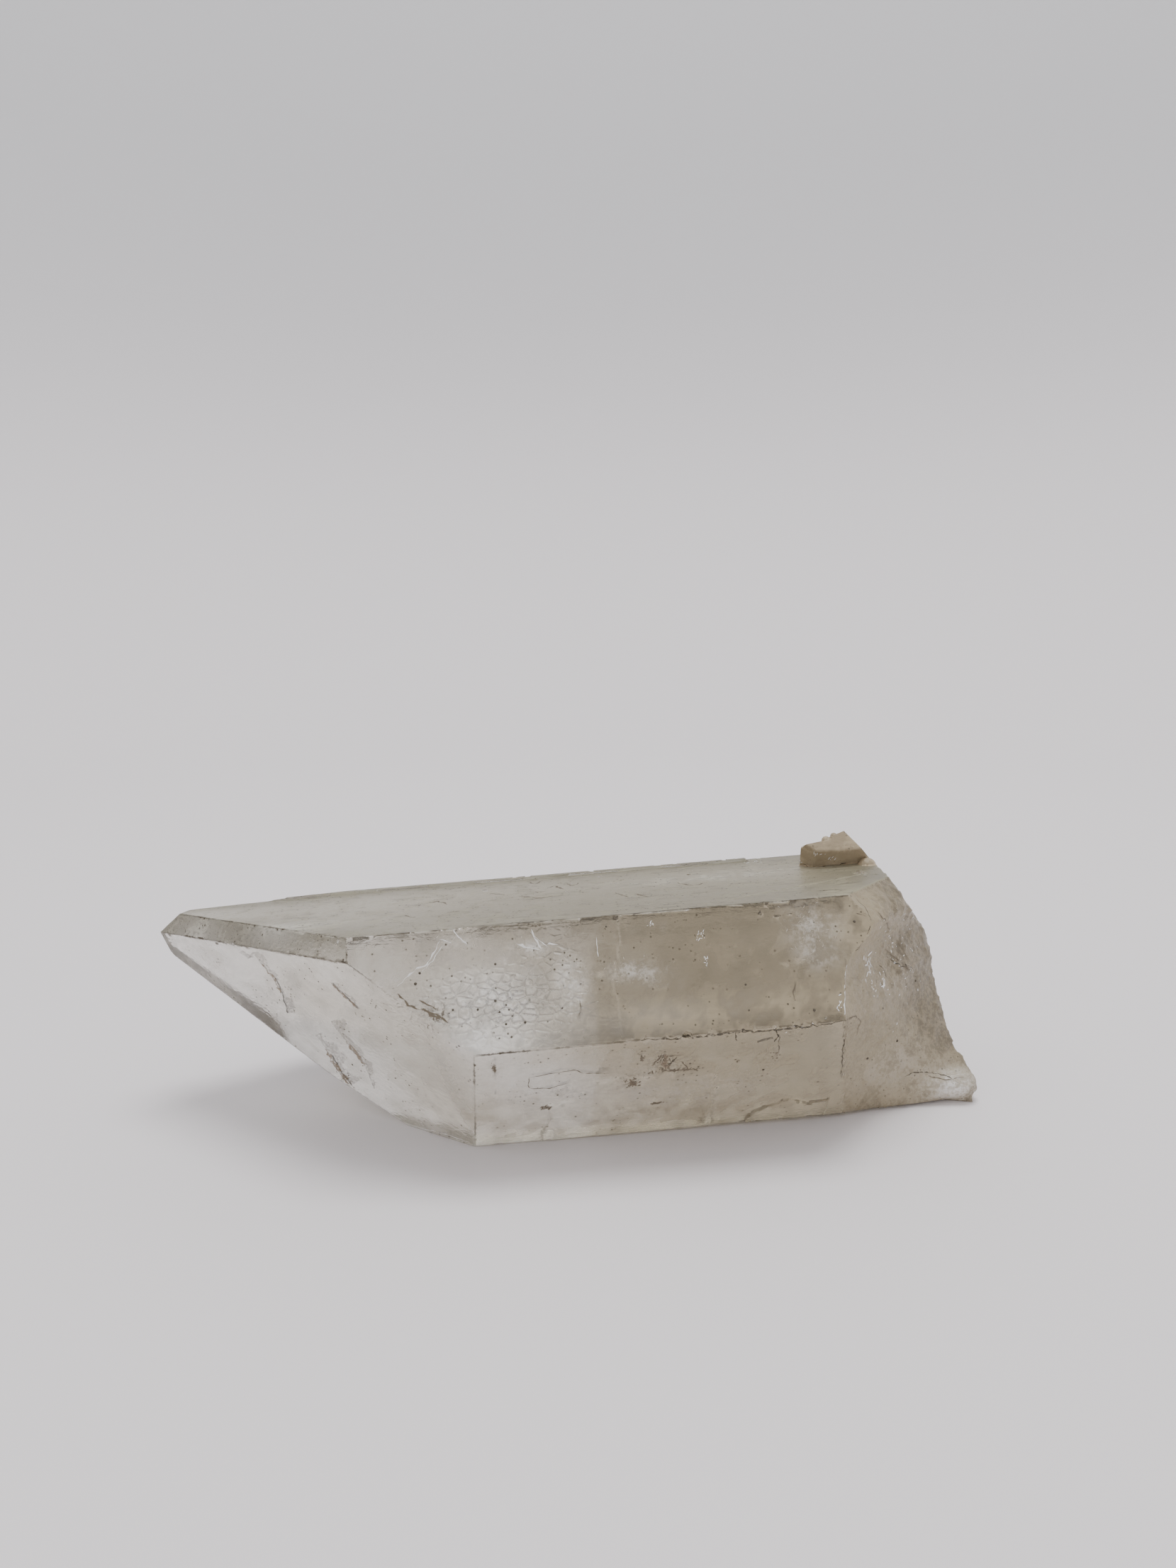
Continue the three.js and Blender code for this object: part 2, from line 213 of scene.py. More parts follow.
def quartz_material(look):
    """Clear quartz with a worn, partly milky skin, dirty edges, a faint smoky tint inside and painted
    shade by face.
    """
    tree = Tree("quartz")
    point = tree.place()
    along = tree.place(stretch=(0.15, 1, 1))
    scaled = tree.place(stretch=(0.8, 1, 1.15))
    haze, scaly, cloud, stain, broken, stub, top, gap, mottle, smoke, shade = (
        tree.measured(name) for name in MEASURES)
    rough = broken.most(stub)

    fine = tree.grain(point, 1.3, detail=4.0, roughness=0.62)
    striae = tree.grain(along, 1.2, detail=3.0, roughness=0.6)
    groove = tree.cells(scaled, 0.6, feature="DISTANCE_TO_EDGE")
    pock = tree.cells(point, 0.95)

    relief = (0.05 + 0.11 * rough) * fine + (0.05 + 0.05 * top) * striae
    relief = relief + 0.30 * scaly * groove.ramp(0.0, 0.22) + (0.02 + 0.05 * rough) * pock
    normal = tree.bump(relief)

    dirt_line = (gap + 0.9 * (0.5 - fine)).ramp(0.28, 0.1) * (0.55 + 0.45 * mottle.ramp(0.4, 0.55))
    flecks = pock.ramp(0.26, 0.14) * (mottle + 0.08 * top + 0.9 * (fine - 0.5)).ramp(0.52, 0.64)
    streaks = striae.ramp(0.52, 0.6) * mottle.ramp(0.44, 0.56) * (0.15 + 0.85 * top)
    blotch = stain * fine.ramp(0.46, 0.58)
    # darker in the grooves between the scales
    groove_darkening = scaly * groove.ramp(0.13, 0.05) * fine.ramp(0.45, 0.58)
    rusty = rough * fine.ramp(0.55, 0.68) * mottle.ramp(0.48, 0.6)
    dirt = 0.8 * dirt_line + (0.9 - 0.3 * rough) * flecks + 0.5 * streaks + 0.6 * blotch
    dirt = (dirt + 0.45 * groove_darkening + 0.2 * rusty).clamped()

    milk_share = 0.06 + 0.38 * top + haze * (0.55 + 0.45 * mottle.ramp(0.36, 0.6))
    milk_share = milk_share + 0.25 * scaly * groove.ramp(0.3, 0.08)
    milk_share = milk_share + broken * (0.34 + 0.2 * fine.ramp(0.42, 0.6)) + 0.6 * stub
    milk_share = milk_share + 0.16 * mottle.ramp(0.48, 0.66)
    wisp = cloud * (0.3 + 0.7 * (fine + 0.8 * (mottle - 0.5)).ramp(0.34, 0.7))
    milk_share = milk_share + 0.75 * wisp + 0.12 * top * fine.ramp(0.5, 0.62)
    milk_share = milk_share.clamped().most(dirt)

    tint = tree.blend(smoke, colour(look.clear_colour), colour(look.smoky_colour))
    # painted shade: the glass is darkened face by face towards the shade colour
    tint = tree.blend(shade, tint, colour(look.painted_shade_colour))
    roughness = 0.05 + 0.12 * fine + 0.06 * scaly + 0.10 * rough + 0.25 * top
    glass = tree.add("ShaderNodeBsdfPrincipled", {}, {
        "Base Color": tint, "Roughness": roughness, "IOR": look.ior,
        "Transmission Weight": 1.0, "Normal": normal,
    })
    milk_tint = tree.blend(smoke, colour(look.milk_colour), colour(look.smoky_milk))
    milk_tint = tree.blend(top, milk_tint, colour(look.film_colour))
    # the haze and cloud patches also paint the toe's highlight in this colour
    milk_tint = tree.blend(wisp.most(haze * (1 - smoke)), milk_tint, colour(look.veil_and_highlight_colour))
    milk_tint = tree.blend(stub, milk_tint, colour(look.stub_colour))
    milk_colour = tree.blend(dirt, milk_tint, colour(look.dirt_colour))
    milk = tree.add("ShaderNodeBsdfPrincipled", {}, {
        "Base Color": milk_colour, "Roughness": 0.42, "IOR": look.ior, "Normal": normal,
        "Specular IOR Level": 0.25,
    })
    surface = tree.add("ShaderNodeMixShader", {}, {0: milk_share, 1: glass, 2: milk})
    volume = tree.add("ShaderNodeVolumeAbsorption", {}, {
        "Color": colour(look.depth_colour), "Density": look.depth_density,
    })
    return tree.finish(surface, volume)


def veil_material(name, base, cover, roughness):
    """A thin layer in or on the quartz that hides a share of what is behind it."""
    tree = Tree(name)
    grain = tree.grain(tree.place(), 1.4, detail=3.0, roughness=0.7)
    shade = tree.blend(grain, colour(base), colour([0.8 * part for part in base]))
    inputs = {"Base Color": shade, "Roughness": roughness}
    if cover < 1:
        inputs["Alpha"] = (cover * grain.ramp(0.3, 0.62)).clamped()
    return tree.finish(tree.add("ShaderNodeBsdfPrincipled", {}, inputs))


SHADED_FROM = 5  # mm up, where the painted shade on the wall starts
SHADED_AT = 500  # mm up, where it is darkest


def floor_material(look):
    """Pale floor that is painted slightly darker up the wall, as a painted shade."""
    tree = Tree("pale_floor")
    height = tree.add("ShaderNodeSeparateXYZ", {}, {0: tree.place()}, output=2)
    share = height.ramp(SHADED_FROM, SHADED_AT)
    shade = tree.blend(share, colour(look.floor_colour), colour(look.shaded_wall_colour))
    surface = tree.add("ShaderNodeBsdfPrincipled", {}, {
        "Base Color": shade, "Roughness": 0.6,
    })
    return tree.finish(surface)


# ------------ meshes


def shade_smooth(piece):
    for polygon in piece.data.polygons:
        polygon.use_smooth = True


def new_object(name, shape, material):
    mesh = bpy.data.meshes.new(name)
    shape.to_mesh(mesh)
    shape.free()
    piece = bpy.data.objects.new(name, mesh)
    bpy.context.scene.collection.objects.link(piece)
    mesh.materials.append(material)
    return piece


def boxed(place):
    """A place brought back into the solid's box, if it lies outside."""
    return Vector([min(max(place[i], LOW[i]), HIGH[i]) for i in range(3)])


def put_in_order(shape):
    """Sorts the faces by their vertices, as extruding leaves them in any order."""
    count = len(shape.verts)
    shape.verts.index_update()

    def number(face):
        first, second, third = sorted(vert.index for vert in face.verts)[:3]
        return (first * count + second) * count + third

    shape.faces.sort(key=number)


def thicken(shape, thickness):
    """Turns the open faces of a shape into closed plates."""
    shape.normal_update()
    push = shape.verts.layers.float_vector.new("push")
    for vert in shape.verts:
        vert[push] = vert.normal * thickness
    grown = bmesh.ops.extrude_face_region(shape, geom=list(shape.faces), use_keep_orig=True)
    for vert in grown["geom"]:
        if isinstance(vert, bmesh.types.BMVert):
            vert.co += vert[push]
    shape.verts.layers.float_vector.remove(push)
    put_in_order(shape)
    bmesh.ops.recalc_face_normals(shape, faces=shape.faces)


def halve(shape, faces, axis, low, high):
    """Cuts faces in two by a plane across an axis, and each half again, down to a cell."""
    if high - low < 1.5 * CELL or not faces:
        return
    middle = (low + high) / 2
    normal = Vector([float(i == axis) for i in range(3)])
    verts = dict.fromkeys(vert for face in faces for vert in face.verts)
    edges = dict.fromkeys(edge for face in faces for edge in face.edges)
    cut = bmesh.ops.bisect_plane(
        shape, geom=[*verts, *edges, *faces], plane_co=normal * middle, plane_no=normal)
    sides = ([], [])
    for piece in cut["geom"]:
        if isinstance(piece, bmesh.types.BMFace):
            sides[piece.calc_center_median()[axis] > middle].append(piece)
    halve(shape, sides[0], axis, low, middle)
    halve(shape, sides[1], axis, middle, high)


def grid_up(shape):
    """Cuts each face into cells, across the two axes that it lies along most nearly."""
    reach = CELL * 2 ** math.ceil(math.log2((HIGH.x - LOW.x) / CELL))
    for axis in range(3):
        shape.normal_update()
        faces = []
        for face in shape.faces:
            steepest = max(range(3), key=lambda i: abs(face.normal[i]))
            if steepest != axis:
                faces.append(face)
        halve(shape, faces, axis, LOW[axis], LOW[axis] + reach)
    bmesh.ops.triangulate(shape, faces=shape.faces, ngon_method="BEAUTY")


def regions_of(shape):
    """Marks every face with its region's number and returns the layer."""
    layer = shape.faces.layers.int.new("region")
    closest = math.cos(math.radians(FACE_TOLERANCE))
    normals = [face_normal(name) for name in FACES]
    shape.normal_update()
    for face in shape.faces:
        centre = face.calc_center_median() / MM
        match = max(range(len(normals)), key=lambda i: normals[i].dot(face.normal))
        on_stub = all(centre[i] > STUB_LOW[i] for i in range(3))
        if on_stub:
            face[layer] = STUB
        elif normals[match].dot(face.normal) > closest:
            face[layer] = match
        elif centre.x > BREAK_FROM:
            face[layer] = BREAKAGE
        else:
            face[layer] = OTHER
    return layer


def paint(name, description, default):
    return bpy.props.FloatVectorProperty(
        name=name, description=description, default=default, subtype="COLOR")


def span(name, description, default):
    return bpy.props.FloatProperty(
        name=name, description=description, default=default, unit="LENGTH")


class QuartzLook(bpy.types.PropertyGroup):
    """Colours and optics of the quartz."""

    clear_colour: paint("Clear", "Tint of the clear quartz", (0.985, 0.975, 0.945))
    smoky_colour: paint("Smoky", "Tint of the smoky quartz towards the base", (0.56, 0.495, 0.365))
    # Painted shade: the colour that the glass of some faces is darkened towards.
    painted_shade_colour: paint("Deep", "Tint of the deepest faces", (0.14, 0.119, 0.078))
    milk_colour: paint("Milky", "Colour of the milky quartz", (0.64, 0.60, 0.51))
    smoky_milk: paint("Smoky milk", "Colour of the milk towards the base", (0.36, 0.304, 0.207))
    film_colour: paint("Film", "Colour of the dull film on the top face", (0.345, 0.317, 0.218))
    stub_colour: paint("Stub", "Colour of the small stub's skin", (0.54, 0.44, 0.295))
    # Also the colour of the painted highlights on the toe and along the bottom ridge.
    veil_and_highlight_colour: paint("Veils", "Colour of healed cracks and veils", (0.83, 0.82, 0.785))
    # Painted highlights: the white of the flakes that stand in for glints.
    painted_glint_colour: paint("Glints", "Colour of the glinting flakes", (0.98, 0.98, 0.97))
    stain_colour: paint("Stains", "Colour of the brown stains and the scratches", (0.15, 0.12, 0.08))
    rust_colour: paint("Fractures", "Colour of the stained fractures and bands", (0.34, 0.26, 0.175))
    dirt_colour: paint("Dirt", "Colour of the dirt in edges and pits", (0.08, 0.065, 0.042))
    depth_colour: paint("Absorption colour", "Light that the inside lets through", (0.80, 0.77, 0.66))
    depth_density: bpy.props.FloatProperty(
        name="Absorption density", description="How much light a metre of it takes",
        default=10.5)
    ior: bpy.props.FloatProperty(
        name="IOR", description="Index of refraction of quartz", default=1.544)


class QuartzShape(bpy.types.PropertyGroup):
    """Relief of the quartz faces."""

    swell: span("Swell", "Rise and fall of the broad growth hills", 0.025 * MM)
    scale_depth: span("Scales", "Depth of the etched scales", 0.16 * MM)
    stria_depth: span("Striae", "Depth of the growth lines", 0.03 * MM)
    break_relief: span("Break", "Depth of the hackles on the broken base", 0.38 * MM)
    edge_wear: span("Edge wear", "How far the edges are worn back", 0.04 * MM)


class StageLook(bpy.types.PropertyGroup):
    """The floor, the lights and the sky."""

    floor_colour: paint("Floor", "Colour of the floor", (0.92, 0.885, 0.895))
    # Painted shade: the wall is given a darker colour than the floor.
    shaded_wall_colour: paint("Wall", "Colour of the wall round the floor", (0.62, 0.62, 0.632))
    sky_colour: paint("Sky", "Colour of the light from all round", (0.96, 0.955, 0.97))
    floor_radius: span("Flat floor", "Radius of the flat floor", 0.5)
    bend_radius: span("Bend", "Radius of the bend up to the wall", 0.35)
    wall_height: span("Wall", "Height of the wall", 0.75)
    key_width: span("Key width", "Width of the soft light", 0.6)
    key_power: bpy.props.FloatProperty(
        name="Key light", description="Power of the soft light", default=8.0, unit="POWER")
    sky_strength: bpy.props.FloatProperty(
        name="Sky strength", description="Strength of the light from all round", default=0.87)
    lens: bpy.props.FloatProperty(
        name="Lens", description="Focal length", default=25.504, unit="CAMERA")


class QUARTZ_OT_crystal(bpy.types.Operator):
    """Build the quartz point with its worn skin"""

    bl_idname = "quartz.crystal"
    bl_label = "Quartz point"

    def execute(self, context):
        look = context.scene.quartz_look
        sizes = context.scene.quartz_shape
        shape = bmesh.new()
        shape.from_mesh(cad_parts["quartz_crystal"].data)
        bmesh.ops.remove_doubles(shape, verts=shape.verts, dist=WELD)
        layer = regions_of(shape)
        bmesh.ops.dissolve_limit(
            shape, angle_limit=math.radians(FLAT_WITHIN), verts=shape.verts, edges=shape.edges,
            delimit={"NORMAL"})
        grid_up(shape)
        bmesh.ops.recalc_face_normals(shape, faces=shape.faces)
        smooth_break(shape, layer)
        carve(shape, layer, sizes)
        dress(shape, layer)
        piece = new_object("quartz", shape, quartz_material(look))
        shade_smooth(piece)
        piece.data.set_sharp_from_angle(angle=math.radians(SHARP_FROM))
        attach(piece, "root")
        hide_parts("quartz_crystal")
        return {"FINISHED"}


STRUCK_AT = Vector((86.0, 35.0, 66.0))  # mm, the point that the break's arcs run round
ARC_PITCH = 1.9  # mm between the arcs
BREAK_ROUNDS = 6
RIM_ROUNDS = 3
LOWEST = 0.3 * MM  # nothing lower than this is moved, so that the crystal rests as it did


def smooth(shape, verts, rounds):
    for _ in range(rounds):
        bmesh.ops.smooth_vert(
            shape, verts=verts, factor=0.5, use_axis_x=True, use_axis_y=True, use_axis_z=True)


def smooth_break(shape, layer):
    """Rounds the coarse facets of the broken base, and the rims of the pits and the plates."""
    broken = []
    rims = []
    for vert in shape.verts:
        kinds = {face[layer] for face in vert.link_faces}
        if kinds == {BREAKAGE} and vert.co.z > LOWEST:
            broken.append(vert)
        elif OTHER in kinds and len(kinds - {OTHER}) <= 1 and vert.co.z > LOWEST:
            rims.append(vert)
    smooth(shape, broken, BREAK_ROUNDS)
    smooth(shape, rims, RIM_ROUNDS)


def hackles(point):
    """Relief of the broken base at a point in millimetres, from about -1 to 1."""
    away = point - STRUCK_AT
    arcs = math.sin(2 * math.pi * away.length / ARC_PITCH + 3.0 * noise.noise(point * 0.12))
    rough = noise.fractal(point * 0.42, 0.8, 2.2, 4)
    lumps = noise.noise(point * 0.13)
    return 0.12 * arcs + 0.8 * rough + 0.5 * lumps


def scales(point):
    """Relief of the etched scales at a point in millimetres, from -1 to 0."""
    warped = Vector((point.x * 0.42, point.y * 0.62, point.z * 0.62))
    warped += 0.5 * noise.noise_vector(point * 0.35)
    nearest, second = noise.voronoi(warped)[0][:2]
    return -min(1.0, (second - nearest) * 1.6) * (0.4 + 0.6 * nearest)


def striae(point):
    """Relief of the growth lines along a prism face, from about -1 to 1."""
    return noise.fractal(Vector((point.x * 0.06, point.y * 0.9, point.z * 0.9)), 0.9, 2.1, 3)


def carve(shape, layer, sizes):
    """Moves the vertices to give each kind of face its relief, and wears the edges back."""
    shape.normal_update()
    moves = {}
    for vert in shape.verts:
        kinds = {face[layer] for face in vert.link_faces}
        point = vert.co / MM
        if vert.co.z < LOWEST:
            continue
        if kinds == {BREAKAGE}:
            height = sizes.break_relief * hackles(point)
        elif len(kinds) == 1 and max(kinds) < BREAKAGE:
            height = sizes.swell * noise.noise(point * 0.12)
            height += sizes.stria_depth * striae(point)
            height += sizes.scale_depth * patches_at(point, SCALES) * scales(point)
        elif len(kinds) > 1:
            worn = 0.3 + 0.9 * noise.noise(point * 0.5) + 0.9 * noise.noise(point * 0.16)
            height = -sizes.edge_wear * max(0.0, worn)
        else:
            continue
        moves[vert] = vert.co + vert.normal * height
    for vert, place in moves.items():
        vert.co = boxed(place)


# Edges that hold dirt, as pairs of faces.
DIRTY_EDGES = [
    ("top", "tip_upper"), ("top", "front_upper"), ("front_upper", "front_lower"),
    ("tip_upper", "front_upper"), ("tip_lower", "front_lower"), ("tip_upper", "tip_lower"),
    ("top", "back_upper"), ("back_upper", "back_lower"),
]

# Patches, as x, y and z of their middle and their reach along X and across, in mm, and
# their strength.
HAZE_AND_TOE_HIGHLIGHT = [
    ((-17, -25.5, 35), 13, 7, 0.55),
    ((-19, -31, 26.5), 8, 3, 0.7),
    ((-36, -24.2, 36), 5, 2.4, 0.25),
    ((-2, -26, 34), 3.5, 6, 0.35),
    ((35, -24, 39), 13, 5, 0.2),
    ((22, -31, 26.8), 26, 2.5, 0.2),
    ((-12, -28, 16), 13, 11, 0.95),
    ((14, -27, 14), 18, 11, 0.55),
    ((40, -27, 14), 14, 11, 0.35),
    ((12, -22, 5), 30, 3, 0.45),
    ((-27, -13, 1.5), 7, 2.5, 0.6),
    ((-73, 6, 32), 8, 9, 0.45),
    ((-58, -8, 42), 16, 5, 0.4),
    ((55, -20, 42), 6, 8, 1),
    ((51.5, -24, 39.5), 3.5, 4, 0.6),
    ((41, -29.5, 30), 16, 4, 0.72),
    ((16, -30, 29.5), 14, 3, 0.65),
    # Painted highlight: a whitish patch on the toe stands in for its glossy highlight.
    ((76, -15, 5), 6, 5, 0.7),
    ((64, -17, 10), 12, 9, 0.4),
    ((58, -19.5, 6), 9, 5, 0.4),
]
CLOUDY_AND_TOE_HIGHLIGHT = [
    ((43.6, -22.4, 41.8), 4.6, 4.2, 0.6),
    ((44.5, -25.6, 37), 3.4, 2.2, 0.6),
    ((8.3, -25.4, 36.2), 4, 2, 0.55),
    ((13.5, -26.1, 35.2), 4, 2, 0.45),
    ((-8.6, -22.2, 40.4), 4.5, 1.6, 0.6),
    ((-2, -26, 34.5), 3, 6, 0.5),
    ((-18, -27.5, 32), 11, 6, 0.85),
    ((-22.5, -21, 41.7), 4, 1.6, 0.5),
    ((31, 6, 47.5), 22, 5, 0.35),
    ((64, -17.5, 10), 10, 5, 0.2),
    ((-9, -28, 15), 14, 10, 0.3),
    ((18, -26, 10), 22, 5, 0.3),
    # Painted highlight: a whitish patch on the toe stands in for its glossy highlight.
    ((77, -16, 4), 5, 3.5, 1),
]
SCALES = [
    ((-19, -27.5, 32), 12, 5.5, 1),
    ((-8, -27.5, 32.5), 9, 5.5, 0.7),
    ((-5, -23.5, 38.5), 6, 4, 0.4),
]
# Painted tint: beige patches on the tip's lower face, added to the smoky tint, that stand in for the
# beige that the tip shows by refraction.
PAINTED_BEIGE = [
    ((-52, -8.5, 30.5), 11, 8, 0.42),
    ((-45, -13, 28), 6, 6, 0.2),
]
STAINS = [
    ((14.8, -28, 18.5), 4.5, 3.5, 1),
    ((9, -26.3, 14.6), 1.8, 2, 1),
    ((-16.6, -30.1, 21), 0.9, 2.2, 1),
    ((-26.5, -27.9, 31), 2.6, 2, 1),
    ((35.5, -29, 20.5), 3.5, 4, 0.6),
    ((-3, -26, 14), 10, 4, 0.35),
]


def patches_at(point, patches):
    """How much of a list of patches lies at a point in millimetres, from 0 to 1."""
    total = 0.0
    for middle, along, across, strength in patches:
        away = point - Vector(middle)
        wide = Vector((0, away.y, away.z)).length / across
        total += strength * math.exp(-((away.x / along) ** 2) - wide ** 2)
    return min(total, 1.0)


def mottle_at(point):
    """The cloudy mottling of the skin at a point in millimetres, about 0.5."""
    warped = point * 0.28 + 0.7 * noise.noise_vector(point * 0.17)
    return 0.5 + 0.32 * noise.fractal(warped, 0.75, 2.1, 5)


SMOKE_FROM = -64.0  # mm along X, where the smoky tint starts
SMOKE_TO = 50.0  # mm along X, where it is full
SMOKE_STEP = 2.5  # mm along X, where it steps up
SMOKE_JUMP = 14  # mm along X, how far ahead the step brings it
SMOKE_SWAY = 26  # mm along X, how far it wanders
SMOKE_MOTTLE = 55  # mm along X, how far the mottling moves it


def smoke_at(point, mottle):
    """How smoky the quartz is at a point in millimetres, from 0 to 1."""
    reach = point.x + SMOKE_SWAY * noise.noise(point * 0.05) + SMOKE_MOTTLE * (mottle - 0.5)
    reach += SMOKE_JUMP * min(max(point.x - SMOKE_STEP + 1, 0.0), 1.0)
    share = min(max((reach - SMOKE_FROM) / (SMOKE_TO - SMOKE_FROM), 0.0), 1.0)
    return share * share * (3 - 2 * share)


# Painted shade: how far each kind of face is darkened towards the shade colour, at its clear and at
# its smoky end, more on the faces that look up than on those that look down.
SHADES = {
    "top": (0.35, 0.5), "tip_top": (0.3, 0.3), "tip_upper": (0.62, 0.7),
    "front_upper": (0.62, 1.0), "front_lower": (0.0, 0.12), "tip_lower": (0.0, 0.0),
    "back_lower": (0.0, 0.12), "tip_back": (0.0, 0.1), "tip_under": (0.0, 0.1),
    "tip_end": (0.0, 0.1),
}
# The broken base and the stub get the most painted shade, partly for the real darker brown of the
# break; pits, chips and plate rims get their own.
BREAK_SHADE = 0.9
RIM_SHADE = 0.4
OTHER_SHADES = (0.1, 0.3)
FILMS = {"top": 1.0, "tip_top": 1.0, "tip_upper": 0.7}  # how strong a face's dull film is


def shade_of(kind, smoke):
    """How much painted shade a kind of face gets, from 0 to 1."""
    if kind in (BREAKAGE, STUB):
        return BREAK_SHADE
    if kind == OTHER:
        return RIM_SHADE
    clear, smoky = SHADES.get(list(FACES)[kind], OTHER_SHADES)
    return clear + (smoky - clear) * smoke


PATCHES = {"haze": HAZE_AND_TOE_HIGHLIGHT, "scales": SCALES, "cloud": CLOUDY_AND_TOE_HIGHLIGHT, "stain": STAINS}
MEASURES = (*PATCHES, "breakage", "stub", "top", "edge_gap", "mottle", "smoke", "shade")


def dress(shape, layer):
    """Adds the measures that the material reads to a shape's vertices."""
    layers = {name: shape.verts.layers.float.new(name) for name in MEASURES}
    pairs = [{region(a), region(b)} for a, b in DIRTY_EDGES]
    films = {region(name): strength for name, strength in FILMS.items()}
    near = []
    for edge in shape.edges:
        if {face[layer] for face in edge.link_faces} in pairs:
            ends = [vert.co.copy() for vert in edge.verts]
            near.extend([*ends, (ends[0] + ends[1]) / 2])
    tree = KDTree(len(near))
    for i, co in enumerate(near):
        tree.insert(co, i)
    tree.balance()
    for vert in shape.verts:
        kinds = {face[layer] for face in vert.link_faces}
        point = vert.co / MM
        mottle = mottle_at(point)
        # the beige patches add a painted tint for what the tip shows by refraction
        smoke = min(1.0, smoke_at(point, mottle) + patches_at(point, PAINTED_BEIGE))
        # Painted shade: the mean of what the faces round the vertex get.
        shades = [shade_of(kind, smoke) for kind in kinds]
        measures = {name: patches_at(point, patches) for name, patches in PATCHES.items()}
        measures["breakage"] = float(BREAKAGE in kinds)
        measures["stub"] = float(STUB in kinds)
        measures["top"] = max(films.get(kind, 0.0) for kind in kinds)
        measures["edge_gap"] = tree.find(vert.co)[2] / MM
        measures["mottle"] = mottle
        measures["smoke"] = smoke
        measures["shade"] = sum(shades) / len(shades)
        for name, value in measures.items():
            vert[layers[name]] = value


# ------------ in and on the quartz

SHEET_CELL = 0.45 * MM  # size of the cells of a crack's sheet
SHEET_THICKNESS = 0.04 * MM
START_DEPTH = 0.22 * MM  # how far under the skin a crack starts
RIBBON_CELL = 0.3 * MM  # length of the cells of a ribbon
RIBBON_LIFT = 0.012 * MM  # how far above the skin a ribbon lies
FLAKE_SPREAD = 0.6  # how far the flakes of a cloud lie from its middle, for its reach
FLAKE_TURN = (0.9, 0.7)  # radians in the skin, middle and spread
FLAKE_TILT = 0.05  # radians out of the skin, spread
FLAKE_SIZES = (0.35, 1.0)  # smallest and largest, for a cloud's longest flake


@functools.cache
def skin_of(name):
    """The finished surface of a piece, to hang what lies under it from."""
    mesh = bpy.data.objects[name].data
    return BVHTree.FromPolygons([v.co for v in mesh.vertices], [p.vertices for p in mesh.polygons])


def under(skin, point, depth):
    """The place at a depth under the skin nearest a point, and the normal there."""
    place, normal, _, _ = skin.find_nearest(point)
    return place - normal * depth, normal


def length_of(line):
    return sum((b - a).length for a, b in zip(line, line[1:]))


def on_line(line, share):
    """The point at a share of the length of a line of points."""
    left = share * length_of(line)
    for a, b in zip(line, line[1:]):
        step = (b - a).length
        if left <= step:
            return a.lerp(b, left / step)
        left -= step
    return line[-1]


def hang_sheet(shape, skin, depth, slant, points):
    """Adds a ragged sheet that hangs into the quartz from a line just under its skin."""
    line = [Vector(point) * MM for point in points]
    columns = max(2, round(length_of(line) / SHEET_CELL))
    rows = max(1, round(depth * MM / SHEET_CELL))
    grid = bmesh.ops.create_grid(shape, x_segments=columns, y_segments=rows, size=1)
    faces = dict.fromkeys(face for vert in grid["verts"] for face in vert.link_faces)
    torn = []
    for face in faces:
        centre = face.calc_center_median()
        tear = noise.noise(on_line(line, (centre.x + 1) / 2) / MM * 0.35)
        if centre.y > 0.2 + 2.2 * tear and centre.y > 2 / rows - 1:
            torn.append(face)
    bmesh.ops.delete(shape, geom=torn, context="FACES")
    for vert in [vert for vert in grid["verts"] if vert.is_valid]:
        place = on_line(line, (vert.co.x + 1) / 2)
        sway = noise.noise_vector(place / MM * 0.6) * 0.5 * MM
        place, normal = under(skin, place + sway, START_DEPTH)
        reach = depth * MM * (vert.co.y + 1) / 2
        ripple = noise.noise_vector(place / MM * 0.9 + Vector((0, 0, vert.co.y))) * 0.25 * reach
        vert.co = place + (Vector(slant) - normal) * reach + ripple


def lay_ribbon(shape, skin, width, wander, points):
    """Adds a ragged ribbon, width millimetres wide, that lies on the skin along a line."""
    line = [Vector(point) * MM for point in points]
    columns = max(3, round(length_of(line) / RIBBON_CELL))
    grid = bmesh.ops.create_grid(shape, x_segments=columns, y_segments=1, size=1)
    for vert in grid["verts"]:
        share = (vert.co.x + 1) / 2
        place = on_line(line, share)
        place += noise.noise_vector(place / MM) * wander * MM
        ahead = (on_line(line, share + 0.05) - on_line(line, share - 0.05)).normalized()
        lifted, normal = under(skin, place, -RIBBON_LIFT)
        swell = 0.6 + 0.9 * noise.noise(place / MM * 1.3)
        swell *= min(1.0, 0.1 + 5 * share, 0.1 + 5 * (1 - share))
        side = normal.cross(ahead) * vert.co.y * max(swell, 0.05) * width * MM / 2
        vert.co = under(skin, lifted + side, -RIBBON_LIFT)[0]


def scatter(shape, skin, dice, middle, reach, count, length, slim):
    """Adds a cloud of thin flakes on the skin, about as long as length, in millimetres."""
    for _ in range(count):
        along, across = (FLAKE_SPREAD * part for part in reach)
        away = Vector([dice.gauss(0, part) for part in (along, across, across)])
        place, normal = under(skin, (Vector(middle) + away) * MM, 0)
        lie = normal.to_track_quat("Z", "Y").to_matrix().to_4x4()
        spin = Matrix.Rotation(dice.gauss(*FLAKE_TURN), 4, "Z")
        tilt = Matrix.Rotation(dice.gauss(0, FLAKE_TILT), 4, "X")
        size = dice.uniform(*FLAKE_SIZES) * length * MM
        bulk = Matrix.Diagonal((size, slim * size, SHEET_THICKNESS, 1))
        bmesh.ops.create_cone(
            shape, cap_ends=True, segments=6, radius1=0.5, radius2=0.45, depth=1,
            matrix=Matrix.Translation(place) @ lie @ spin @ tilt @ bulk)


